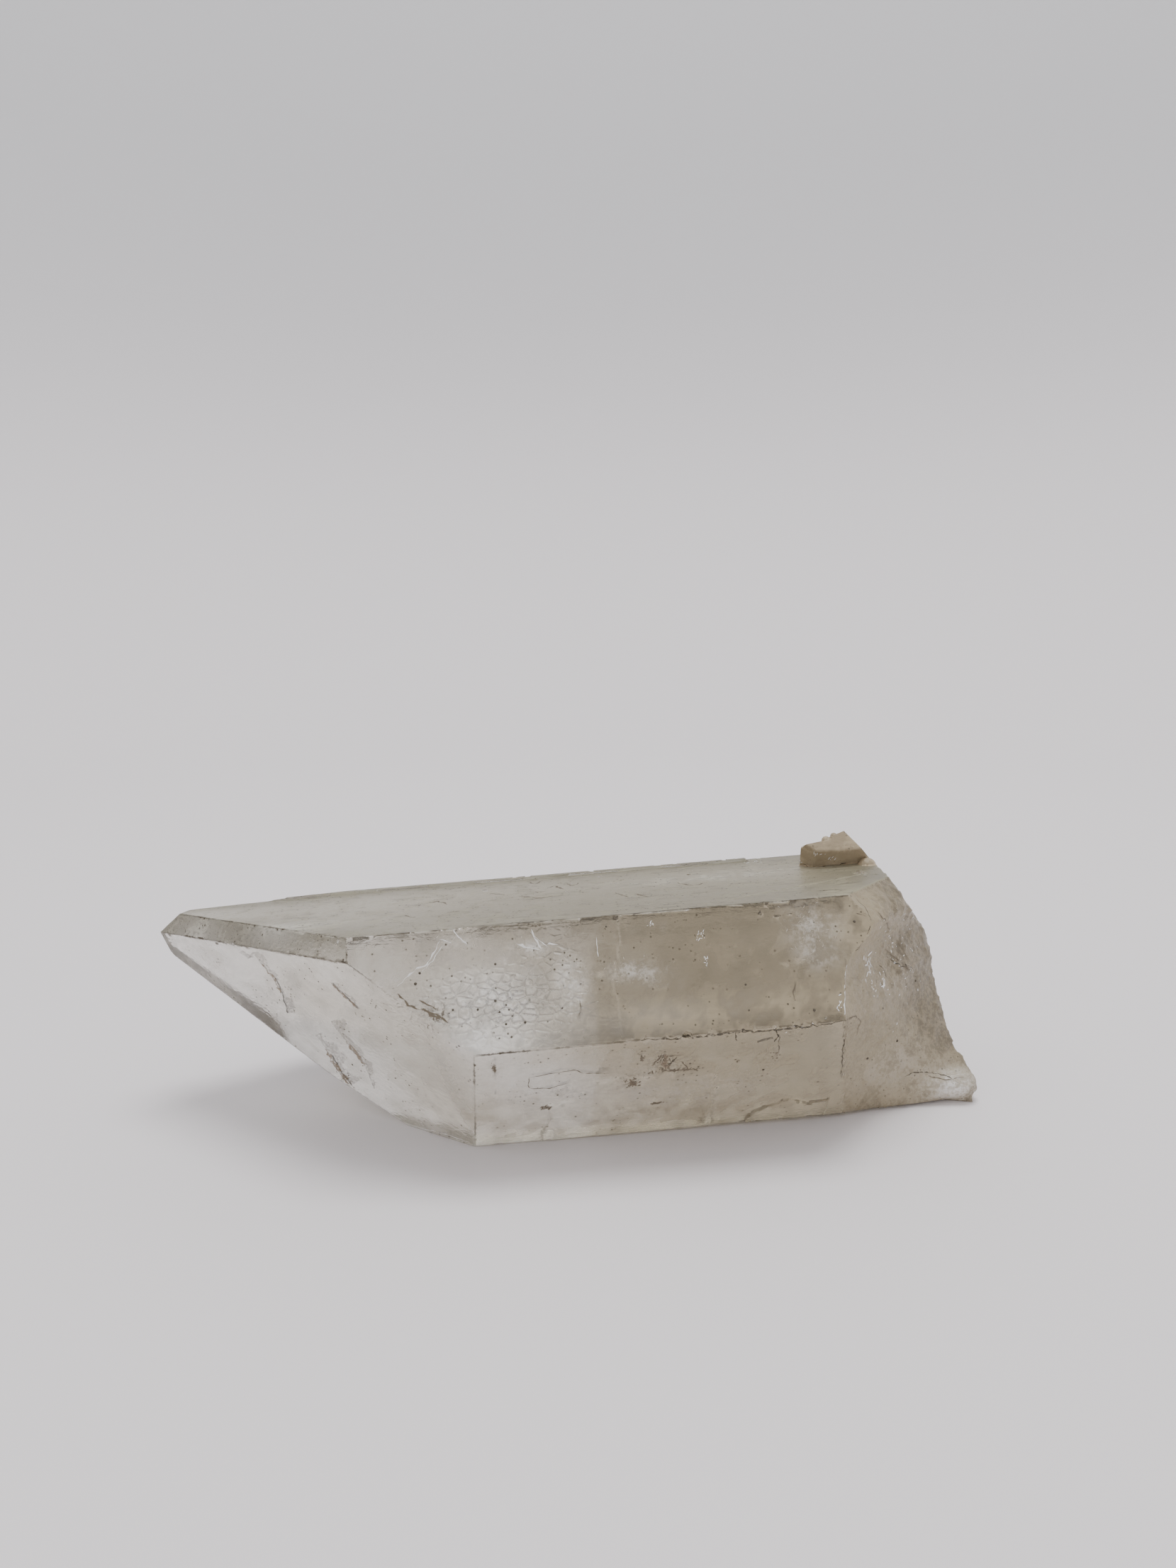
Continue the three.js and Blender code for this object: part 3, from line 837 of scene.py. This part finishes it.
def settle(name, shape, material):
    """Makes an object of what lies in or on the quartz and fixes it to the crystal."""
    for vert in shape.verts:
        vert.co = boxed(vert.co)
    piece = new_object(name, shape, material)
    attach(piece, "root")


def sheets(name, cracks, material):
    """Makes one object of a list of cracks, each a depth, a slant and its points in mm."""
    skin = skin_of("quartz")
    shape = bmesh.new()
    for depth, slant, points in cracks:
        hang_sheet(shape, skin, depth, slant, points)
    loose = [vert for vert in shape.verts if not vert.link_faces]
    bmesh.ops.delete(shape, geom=loose, context="VERTS")
    thicken(shape, SHEET_THICKNESS)
    settle(name, shape, material)


def ribbons(name, lines, material):
    """Makes one object of a list of lines on the skin."""
    skin = skin_of("quartz")
    shape = bmesh.new()
    for width, wander, points in lines:
        lay_ribbon(shape, skin, width, wander, points)
    thicken(shape, RIBBON_LIFT)
    settle(name, shape, material)


def flakes(name, clouds, material, seed):
    """Makes one object of a list of clouds of flakes."""
    skin = skin_of("quartz")
    dice = random.Random(seed)
    shape = bmesh.new()
    for cloud in clouds:
        scatter(shape, skin, dice, *cloud)
    settle(name, shape, material)


# Lines that more than one piece follows, in mm.
NEAR_CRACK = [(-45.9, -16, 33.7), (-43.5, -16.6, 31.3), (-41, -17.1, 28.6)]
SHORT_TRACE = [(-10.3, -26.7, 15.2), (-6.5, -26.4, 14.8), (-2.6, -27, 15.9)]
BASE_EDGE = [(48.3, -30.7, 27), (48.6, -28.5, 20.2), (50.1, -23.6, 11.5)]
UPPER_TRACE = [(39.3, -28, 33), (38.6, -28.8, 31.6), (38.5, -29.8, 30.1)]
MIDDLE_TRACE = [(-0.7, -27.5, 31.9), (-0.6, -28.4, 30.9), (-1.2, -29.4, 29.3)]
BREAK_TRACE = [(67.7, -12.4, 28.7), (64.1, -13.6, 31.6), (63, -15, 33.5)]
LONG_TRACE = [
    (-10.3, -28.3, 18), (-6.6, -28.5, 18.5), (-2.1, -28.8, 19.1), (-0.5, -28.2, 18.1),
    (4.5, -27.8, 17.5)]

# Each ribbon has its width, how far it wanders and the points that it runs through, in mm.
HEALED_CRACKS_AND_HIGHLIGHT = [
    (0.35, 0.25, [
        (-25.5, -20.8, 42.2), (-26.6, -22, 40.2), (-27.9, -23, 38.6), (-29.8, -23.4, 38),
        (-31.7, -24.2, 36.6), (-33.3, -24.9, 35.4)]),
    (0.21, 0.25, [(-24.8, -21.2, 41.5), (-26.8, -22.6, 39.2), (-29.2, -23.8, 37.2)]),
    (0.35, 0.25, [(-23.6, -18.9, 43.9), (-22, -20.6, 42.6), (-20.3, -21.5, 41.2)]),
    (0.42, 0.25, [(-8.6, -20.3, 43.4), (-8.1, -21.4, 41.7), (-7, -22.5, 40)]),
    (0.28, 0.25, [(-8.9, -20.6, 43), (-7.4, -21.6, 41.5), (-5.8, -22.3, 40.4)]),
    (0.49, 0.3, [(-11.5, -21.8, 41.1), (-8.6, -22.4, 40.2), (-7.3, -22.5, 40)]),
    (0.35, 0.3, [(-5.9, -21.9, 41), (-4, -22.1, 40.8)]),
    (0.28, 0.25, [(-25.5, -20.6, 42.4), (-23.3, -21.1, 41.8)]),
    (0.21, 0.1, [(3.2, -21.7, 41.6), (3.2, -23.7, 38.4)]),
    (0.35, 0.3, [(49.6, -26.7, 35.4), (48.6, -29.2, 31.5), (47.5, -31.5, 27.7)]),
    # Painted highlight: a white ribbon along the bottom ridge of the tip, for the light that the
    # ridge catches.
    (0.4, 0.3, [
        (-32.2, -8.7, 0.5), (-29.9, -10.4, 0.6), (-27.5, -12.7, 0.8), (-25.3, -14.7, 0.9),
        (-23, -16.6, 1), (-21.4, -17.9, 0.9)]),
]
RUSTY_BANDS = [
    (2.2, 0.5, [(-49.2, -3, 15.5), (-46.3, -2, 9.4), (-44.8, -1.8, 6.8)]),
    (1.6, 0.6, [(-44.5, -9.2, 19.5), (-42.5, -9.5, 16.5), (-41, -8.7, 13.5)]),
    (0.9, 0.4, NEAR_CRACK),
    (1.1, 0.5, [(-60.5, -4.8, 34), (-57.7, -4.8, 31.1), (-56.9, -3.2, 27)]),
    (1.2, 0.5, [(14.2, -30, 21.8), (14.7, -29, 19.9), (15, -27.4, 17.2)]),
    (1.4, 0.5, [(8.6, -26.8, 15.4), (9.6, -25.8, 13.7)]),
]
STAIN_NET = [
    (0.5, 0.4, [(-33.3, -25.6, 34.3), (-31.2, -26.7, 32.4), (-29.4, -27.3, 31.7)]),
    (0.7, 0.6, [(-29.4, -27.1, 31.8), (-27.5, -27.7, 31.2), (-25.3, -28.5, 29.9)]),
    (0.45, 0.4, [(12.3, -28.4, 18.6), (13.4, -29.3, 20.3), (13.8, -30, 21.8)]),
    (0.35, 0.3, [(13.6, -29.7, 21.2), (15.4, -29.4, 20.8), (17.4, -29.5, 20.9)]),
    (0.5, 0.4, [(14.3, -27.4, 17.1), (17, -27.2, 16.8), (20.4, -27.2, 16.9)]),
    (0.4, 0.3, [(15.2, -29.2, 20.4), (16, -28.2, 18.6), (15, -27.4, 17.2)]),
    (0.35, 0.3, [(17.6, -28.6, 19.2), (18.9, -27.8, 17.9), (19.2, -27, 16.6)]),
    (0.6, 0.4, [(8.4, -26.8, 15.5), (9.1, -26.2, 14.5), (9.7, -25.7, 13.5)]),
    (0.4, 0.25, [(9.9, -29.9, 21.6), (10.4, -29.1, 20.1)]),
    (0.45, 0.2, [(-16.6, -30.9, 22.4), (-16.6, -30, 20.8), (-16.5, -29.4, 19.8)]),
    (0.45, 0.4, [(-28.3, -27.5, 31.6), (-26.7, -27.8, 31), (-24.6, -28.6, 29.6)]),
    (0.4, 0.3, [(-29.5, -26.3, 33.2), (-27.6, -27, 32.3), (-26.2, -27.6, 31.4)]),
]
SCRATCHES = [
    (0.48, 0.5, [(-6.7, 15.5, 42.8), (-5.2, 12.7, 43), (-3.5, 15.4, 42.9)]),
    (0.56, 0.5, [(-3.4, 7.6, 43.3), (-1.4, 9, 43.3), (-0.1, 5.3, 43.6)]),
    (0.48, 0.5, [(0.9, 11.5, 43.3), (2.2, 7.7, 43.5), (3.7, 10.4, 43.4)]),
    (0.48, 0.3, [(9.8, -1.5, 44.2), (10.8, -3.9, 44.4), (11.8, -6.3, 44.5)]),
    (0.40, 0.3, [(13.5, -4, 44.5), (15.6, -7.7, 44.8)]),
    (0.56, 0.5, [(-28.4, 2.6, 42.7), (-25.7, 3.6, 42.8), (-24, 0.1, 43)]),
    (0.48, 0.4, [(-15, 6.8, 43), (-12, 4.6, 43.2)]),
    (0.48, 0.4, [(-32.4, -6.2, 43), (-30.3, -8.7, 43.2)]),
    (0.48, 0.4, [(-24, -6.9, 43.3), (-21.4, -6.5, 43.4)]),
    (0.48, 0.5, [(23.3, 2.8, 44.5), (26, -0.9, 44.8), (29.2, 0.6, 44.8)]),
    (0.48, 0.5, [(-9.6, 2.2, 43.4), (-5.4, -0.9, 43.7), (-0.9, 0.4, 43.8)]),
    (0.25, 0.2, LONG_TRACE),
    (0.22, 0.2, SHORT_TRACE),
    (0.22, 0.2, [(-10.3, -28.2, 18), (-10.3, -26.7, 15.2)]),
    (0.25, 0.2, UPPER_TRACE),
    (0.25, 0.3, MIDDLE_TRACE),
    (0.3, 0.4, [(57.8, -19, 43.2), (59.5, -19.1, 41.5), (63.2, -13.6, 37.4)]),
    (0.3, 0.4, [(65.8, -11.2, 34.2), (66.6, -11.3, 32.5), (67.9, -11.4, 30.2)]),
    (0.35, 0.2, [(68.7, -11.8, 27.7), (66.3, -13.1, 29.5)]),
    (0.3, 0.3, BREAK_TRACE),
    (0.3, 0.3, [(53, -21.6, 43.6), (55, -22, 42.9)]),
    (0.3, 0.3, [(47.5, -32, 26.3), (50.9, -28.5, 25.8), (52.5, -26.8, 23.9), (52.1, -26.2, 21)]),
    (0.3, 0.4, [(71.9, -14.4, 5.9), (76.2, -15.2, 5.2), (79.8, -15, 5.7)]),
]
DARK_LINES = [
    (0.8, 0.45, [
        (9.3, -32.2, 25.5), (13.9, -32, 25.2), (18.3, -31.2, 25.3), (22.8, -31.7, 25.4),
        (26.6, -32, 25.7), (30, -31.7, 25.5), (35.5, -31.8, 25.6), (39.5, -31.7, 25.6),
        (43.2, -31.9, 25.9), (47.4, -32.2, 26.6)]),
    (0.6, 0.3, [(16.8, -29.3, 20.6), (16, -28.6, 19.3), (15.1, -27.9, 18.1)]),
    (0.4, 0.3, [(34.6, -31.8, 25.5), (35.2, -30.8, 23.8), (34.9, -30, 22.4)]),
    (0.35, 0.3, [(27, -31.9, 25.5), (27.6, -30.8, 23.5)]),
    (0.2, 0.1, [(-22.8, -18.9, 43.9), (-8.5, -19.4, 44.4), (0.7, -19.5, 44.8)]),
    (0.22, 0.1, [(0.7, -19.5, 44.8), (12, -19.6, 45.2), (38.8, -19.2, 46)]),
    (0.3, 0.3, BASE_EDGE),
    # A dark line along the foot of the stub.
    (0.4, 0.2, [
        (52.2, 8.8, 45.8), (53.9, 7.3, 45.3), (55.7, 6.7, 45.3), (58, 7.2, 45.4),
        (60.2, 7.2, 45.6), (62.6, 7, 46)]),
    (0.35, 0.4, [
        (62.1, -14.8, 32.2), (64.1, -14.1, 30.6), (65.9, -13.6, 29.2), (67.4, -12.4, 29.1),
        (69.7, -10.8, 27.5)]),
    (0.25, 0.3, [(59.5, -17.6, 31.6), (60.8, -17.3, 30.1), (61.1, -17.7, 28.8)]),
    # A dark line along the crease above the toe.
    (0.3, 0.3, [
        (66.4, -15.7, 6.8), (68.5, -15.2, 7.3), (71.9, -14.1, 6.8), (74.7, -13.9, 6.1),
        (76.6, -14.8, 5.7), (78.2, -15.9, 4.4)]),
    (0.22, 0.2, [
        (54.2, -18.2, 45.8), (55.3, -19.9, 44.1), (56, -21.6, 42.4), (54.8, -23.6, 40.4),
        (53, -23.5, 37.2), (50.2, -26.2, 36.2)]),
]
# Each sheet has its depth, its slant and the points that it starts under, in mm.
TIP_FRACTURES = [
    (3, (0.5, 0, -0.2), NEAR_CRACK),
    (4.5, (0.7, 0, 0.1), [
        (-50.8, -3.4, 18.6), (-48.1, -3, 13.8), (-46.3, -2, 9.4), (-44.8, -1.8, 6.8)]),
    (3.5, (0.6, 0, 0.1), [
        (-47.3, -9, 23.3), (-43.2, -9.1, 17.5), (-41, -8.7, 13.5), (-39.8, -6.4, 7.6)]),
    (2.6, (0.6, 0, 0), [
        (-61.8, -4.2, 36.4), (-57.7, -4.8, 31.1), (-57.1, -3.4, 27.8), (-56.4, -1, 22.4)]),
    (1.6, (0.4, 0, 0), [(-64.9, -1.5, 35.9), (-63, -2.4, 34.8), (-61.8, -4.3, 36.4)]),
    (1.2, (0.4, 0, 0), [(-26.9, -27.7, 31.2), (-24.6, -28.8, 29.4)]),
]
SEAMS = [
    (0.4, (0.5, 0, 0), NEAR_CRACK),
    (0.5, (0.5, 0, 0), [(-48.1, -3, 13.8), (-46.3, -2, 9.4), (-44.8, -1.8, 6.8)]),
    (0.4, (0.5, 0, 0), [(-57.7, -4.8, 31.1), (-57.1, -3.4, 27.8), (-56.4, -1, 22.4)]),
    (0.5, (0, 0, 0.5), LONG_TRACE),
    (0.5, (0, 0, 0.5), SHORT_TRACE),
    (0.4, (0.5, 0, 0), [(-16.6, -31.5, 23.5), (-16.6, -26.2, 14.1)]),
    (0.5, (0.5, 0, 0), [(14.2, -30.3, 22.3), (14.7, -29, 19.9), (14.8, -27.2, 16.8)]),
    (0.8, (0.5, 0, 0), [(16.8, -29.1, 20.3), (15.7, -28.2, 18.6), (14.8, -27.6, 17.5)]),
    (0.5, (0, 0, 0.5), [(31.8, -30.1, 22.4), (33.1, -30.4, 23), (34.4, -30.5, 23.2)]),
    (0.5, (0.5, 0, 0), [(35.1, -31, 24.2), (35.8, -29.8, 22), (35.9, -27.9, 18.7)]),
    (0.4, (0.5, 0, 0), BASE_EDGE),
    (0.6, (0, 0, 0.5), [(20, -26.5, 15.7), (21.8, -27.4, 17.4)]),
    (0.5, (0, 0, 0.5), [(2.5, -28.4, 18.5), (4.5, -28.2, 18.3)]),
    (0.6, (0.5, 0, 0), [(10, -30.2, 22), (10.5, -28.8, 19.5)]),
    (0.5, (0.5, 0, 0), UPPER_TRACE),
    (0.4, (0.5, 0, 0), MIDDLE_TRACE),
    (0.6, (0.5, 0, 0), BREAK_TRACE),
]

# Each cloud has its middle, its reach along X and across, how many flakes it has, the length
# of the longest and their width for their length, in mm.
CLOUDS = [
    ((43.8, -23, 41.2), (3.8, 4), 60, 1, 0.08),
    ((8.3, -25.4, 36.2), (3, 1.8), 24, 0.7, 0.12),
    ((-8.6, -22.2, 40.4), (4, 1.4), 30, 0.8, 0.12),
    ((-18, -30.5, 27.5), (7, 2.5), 60, 0.7, 0.15),
    ((-10, -26.5, 34), (10, 5), 110, 0.7, 0.12),
    ((-22.5, -20.8, 41.9), (4, 1.5), 25, 0.7, 0.15),
    ((-73, 5, 32), (3.5, 4.5), 40, 0.7, 0.15),
    ((62, -14, 28), (9, 12), 70, 0.9, 0.1),
]
# Painted highlights: small white flakes on the skin that stand in for its glints.
PAINTED_GLINTS = [
    ((13.7, -21, 43.3), (0.6, 0.5), 8, 0.7, 0.22),
    ((22.4, -22.5, 41.2), (0.7, 0.9), 12, 0.8, 0.2),
    ((23.2, -25, 37.2), (0.4, 1.1), 9, 0.7, 0.2),
    ((43.6, 17, 44.5), (2, 1), 10, 0.8, 0.3),
    ((54.5, 5.6, 48.6), (1.2, 0.8), 8, 0.8, 0.2),
    ((58.2, 6.6, 46.9), (1.6, 1), 8, 0.8, 0.2),
    ((52.1, 9, 46), (1.8, 0.8), 8, 0.8, 0.2),
    ((56.3, -20.4, 33), (1.6, 1.6), 16, 2.2, 0.15),
    ((59.6, -19.2, 28.4), (1.4, 1.4), 12, 1.8, 0.16),
    ((56, -21.5, 31.3), (2.8, 2.4), 10, 1.2, 0.2),
    ((57, -22.6, 27.2), (1.6, 1.4), 6, 0.9, 0.3),
    ((47, -30.2, 29.4), (0.5, 1.3), 9, 0.8, 0.3),
    ((66, -12, 30), (8, 11), 60, 0.8, 0.3),
    ((-44, -18.7, 42.4), (0.6, 0.3), 3, 0.6, 0.3),
    ((40, -31, 26), (9, 0.8), 8, 0.5, 0.3),
]
STAIN_GRAINS = [
    ((-16.6, -30.1, 21), (0.4, 1), 26, 0.5, 0.6),
    ((14.2, -29, 20), (0.9, 1.6), 50, 0.6, 0.6),
    ((16.2, -27.3, 17), (2.6, 0.5), 50, 0.6, 0.6),
    ((10.2, -29.5, 20.8), (0.4, 0.8), 16, 0.5, 0.6),
    ((9, -26.3, 14.6), (0.9, 1), 40, 0.7, 0.6),
    ((12.5, -27.2, 16.7), (1, 0.3), 14, 0.5, 0.6),
    ((20.8, -27.1, 16.8), (1, 0.4), 14, 0.5, 0.6),
    ((-26.5, -27.9, 31), (1.4, 1.4), 40, 0.7, 0.3),
    ((14.3, -22.8, 8.5), (1.2, 0.3), 24, 0.8, 0.5),
    ((-6.9, -23.5, 9.7), (0.8, 0.6), 24, 0.8, 0.5),
    ((35.6, -28, 19), (0.8, 1.6), 22, 0.5, 0.6),
    ((28.5, -27.7, 18.1), (0.3, 0.6), 8, 0.5, 0.6),
    ((-45.6, -2.2, 8.2), (1.2, 2), 40, 0.8, 0.3),
    ((68, -12, 28), (7, 9), 70, 0.5, 0.4),
]
GRAIN_DEPTH = 0.08 * MM
GRAIN_RADII = (0.18, 0.3)  # mm, smallest and largest
GRAINS = [
    (-15.6, -23.5, 38.1), (-29.2, -23.8, 37.3), (-30, -24.8, 35.7), (-23.5, -27.5, 31.4),
    (-19.1, -27.8, 31.3), (-15.9, -27.1, 32.5), (-14, -27.5, 31.8), (-14.2, -29.4, 28.9),
    (-10.8, -29.4, 29), (52.4, -22.4, 42.2), (29.9, -30.3, 29), (29.9, -27.8, 33),
    (5.2, -20.7, 43.2), (42, -30.9, 28.5), (34, -26, 15.3), (57.8, -19.8, 12.9),
    (64.4, -16.3, 14.9), (56.3, -21.1, 13.9), (70.8, -9.8, 24.8), (59.3, -21, 23.9),
    (67.2, -12.5, 29.4),
]


class QUARTZ_OT_healed_cracks(bpy.types.Operator):
    """Build the white healed cracks of the front faces, and a painted highlight along the bottom
    ridge
    """

    bl_idname = "quartz.healed_cracks"
    bl_label = "Healed cracks"

    def execute(self, context):
        look = context.scene.quartz_look
        ribbons("healed_cracks", HEALED_CRACKS_AND_HIGHLIGHT, veil_material("crack", look.veil_and_highlight_colour, 1, 0.3))
        return {"FINISHED"}


class QUARTZ_OT_fractures(bpy.types.Operator):
    """Build the stained fractures, the seams, the rusty bands and the dark lines along edges and
    creases
    """

    bl_idname = "quartz.fractures"
    bl_label = "Fractures and seams"

    def execute(self, context):
        look = context.scene.quartz_look
        rust = veil_material("fracture", look.rust_colour, 0.3, 0.5)
        sheets("tip_fractures", TIP_FRACTURES, rust)
        sheets("seams", SEAMS, veil_material("seam", look.dirt_colour, 0.8, 0.6))
        ribbons("rusty_bands", RUSTY_BANDS, veil_material("rust", look.rust_colour, 0.75, 0.5))
        ribbons("dirt_lines", DARK_LINES, veil_material("dirt", look.dirt_colour, 0.95, 0.6))
        return {"FINISHED"}


class QUARTZ_OT_clouds(bpy.types.Operator):
    """Build the milky clouds, and the white flakes in the skin that are painted glints"""

    bl_idname = "quartz.clouds"
    bl_label = "Clouds and glints"

    def execute(self, context):
        look = context.scene.quartz_look
        flakes("clouds", CLOUDS, veil_material("cloud", look.milk_colour, 1, 0.4), seed=3)
        # painted highlights: white flakes for the glints of the skin
        flakes("glints", PAINTED_GLINTS, veil_material("glint", look.painted_glint_colour, 1, 0.15), seed=5)
        return {"FINISHED"}


class QUARTZ_OT_stains(bpy.types.Operator):
    """Build the brown stains, the scratches and the dark mineral grains"""

    bl_idname = "quartz.stains"
    bl_label = "Stains, scratches and grains"

    def execute(self, context):
        look = context.scene.quartz_look
        rust = veil_material("stain", look.stain_colour, 1, 0.6)
        flakes("stains", STAIN_GRAINS, rust, seed=7)
        ribbons("stain_net", STAIN_NET, rust)
        ribbons("scratches", SCRATCHES, rust)
        skin = skin_of("quartz")
        dice = random.Random(11)
        shape = bmesh.new()
        for point in GRAINS:
            place, _ = under(skin, Vector(point) * MM, GRAIN_DEPTH)
            radius = dice.uniform(*GRAIN_RADII) * MM
            bmesh.ops.create_icosphere(
                shape, subdivisions=2, radius=radius, matrix=Matrix.Translation(place))
        settle("grains", shape, veil_material("grain", look.dirt_colour, 1, 0.5))
        return {"FINISHED"}


# ------------ stage


class QUARTZ_OT_stage(bpy.types.Operator):
    """Build the floor, the lights and the camera"""

    bl_idname = "quartz.stage"
    bl_label = "Stage"

    def execute(self, context):
        look = context.scene.stage_look
        bowl("floor", look)
        add_key_light(look)
        world = bpy.data.worlds.new("studio")
        world.use_nodes = True
        sky = world.node_tree.nodes["Background"]
        sky.inputs["Color"].default_value = colour(look.sky_colour)
        sky.inputs["Strength"].default_value = look.sky_strength
        context.scene.world = world
        add_camera(look)
        return {"FINISHED"}


KEY_PLACE = (0.12, 0.1, 1.2)  # metres
BEND_STEPS = 10
TURN_STEPS = 72
FLOOR_GAP = 0.05 * MM  # under the crystal


def bowl(name, look):
    """A flat round floor that bends up into a round wall."""
    shape = bmesh.new()
    profile = [Vector((look.floor_radius, 0, 0))]
    for i in range(1, BEND_STEPS + 1):
        turn = math.radians(90 * i / BEND_STEPS)
        reach = look.floor_radius + look.bend_radius * math.sin(turn)
        profile.append(Vector((reach, 0, look.bend_radius * (1 - math.cos(turn)))))
    profile.append(Vector((profile[-1].x, 0, look.wall_height)))
    verts = [shape.verts.new(point) for point in [Vector((0, 0, 0)), *profile]]
    edges = [shape.edges.new(pair) for pair in zip(verts, verts[1:])]
    bmesh.ops.spin(
        shape, geom=[*verts, *edges], cent=(0, 0, 0), axis=(0, 0, 1), angle=2 * math.pi,
        steps=TURN_STEPS, use_merge=True)
    bmesh.ops.remove_doubles(shape, verts=shape.verts, dist=10 * WELD)
    put_in_order(shape)
    bmesh.ops.recalc_face_normals(shape, faces=shape.faces)
    bmesh.ops.translate(shape, verts=shape.verts, vec=(0, 0, -FLOOR_GAP))
    piece = new_object(name, shape, floor_material(look))
    shade_smooth(piece)
    return piece


def add_key_light(look):
    lamp = bpy.data.lights.new("key", "AREA")
    lamp.shape = "DISK"
    lamp.size = look.key_width
    lamp.energy = look.key_power
    light = bpy.data.objects.new("key", lamp)
    bpy.context.scene.collection.objects.link(light)
    light.location = KEY_PLACE
    light.rotation_euler = (-Vector(KEY_PLACE)).to_track_quat("-Z", "Y").to_euler()


# Where the camera stands from the tip and the front ridge, and how it is turned, in degrees.
CAMERA_FROM = Vector((60.51, -184.95, 104.75)) * MM
CAMERA_HEADING = -7.175
CAMERA_PITCH = 80.087
CAMERA_ROLL = -0.822
SENSOR_WIDTH = 36  # mm
NEAREST = 0.01  # metres, the camera sees nothing closer


def add_camera(look):
    camera = bpy.data.cameras.new("camera")
    camera.lens = look.lens
    camera.sensor_width = SENSOR_WIDTH
    camera.clip_start = NEAREST
    eye = bpy.data.objects.new("camera", camera)
    bpy.context.scene.collection.objects.link(eye)
    turn = Matrix.Rotation(math.radians(CAMERA_HEADING), 4, "Z")
    turn = turn @ Matrix.Rotation(math.radians(CAMERA_PITCH), 4, "X")
    turn = turn @ Matrix.Rotation(math.radians(CAMERA_ROLL), 4, "Z")
    place = Vector((LOW.x, LOW.y, 0)) + CAMERA_FROM
    eye.matrix_world = Matrix.Translation(place) @ turn
    bpy.context.scene.camera = eye


class QUARTZ_PT_panel(bpy.types.Panel):
    """Lists the steps that build the crystal"""

    bl_label = "Quartz Crystal"
    bl_space_type = "VIEW_3D"
    bl_region_type = "UI"
    bl_category = "Quartz"

    def draw(self, context):
        for operator in STEPS:
            self.layout.operator(operator.bl_idname)


GROUPS = {"quartz_look": QuartzLook, "quartz_shape": QuartzShape, "stage_look": StageLook}
STEPS = (
    QUARTZ_OT_crystal, QUARTZ_OT_healed_cracks, QUARTZ_OT_fractures, QUARTZ_OT_clouds,
    QUARTZ_OT_stains, QUARTZ_OT_stage,
)


def register():
    for kind in (*GROUPS.values(), *STEPS, QUARTZ_PT_panel):
        bpy.utils.register_class(kind)
    for name, group in GROUPS.items():
        setattr(bpy.types.Scene, name, bpy.props.PointerProperty(type=group))


def unregister():
    for name in GROUPS:
        delattr(bpy.types.Scene, name)
    for kind in reversed((*GROUPS.values(), *STEPS, QUARTZ_PT_panel)):
        bpy.utils.unregister_class(kind)


def main():
    register()
    bpy.ops.quartz.crystal()
    bpy.ops.quartz.healed_cracks()
    bpy.ops.quartz.fractures()
    bpy.ops.quartz.clouds()
    bpy.ops.quartz.stains()
    bpy.ops.quartz.stage()


if __name__ == "__main__":
    main()
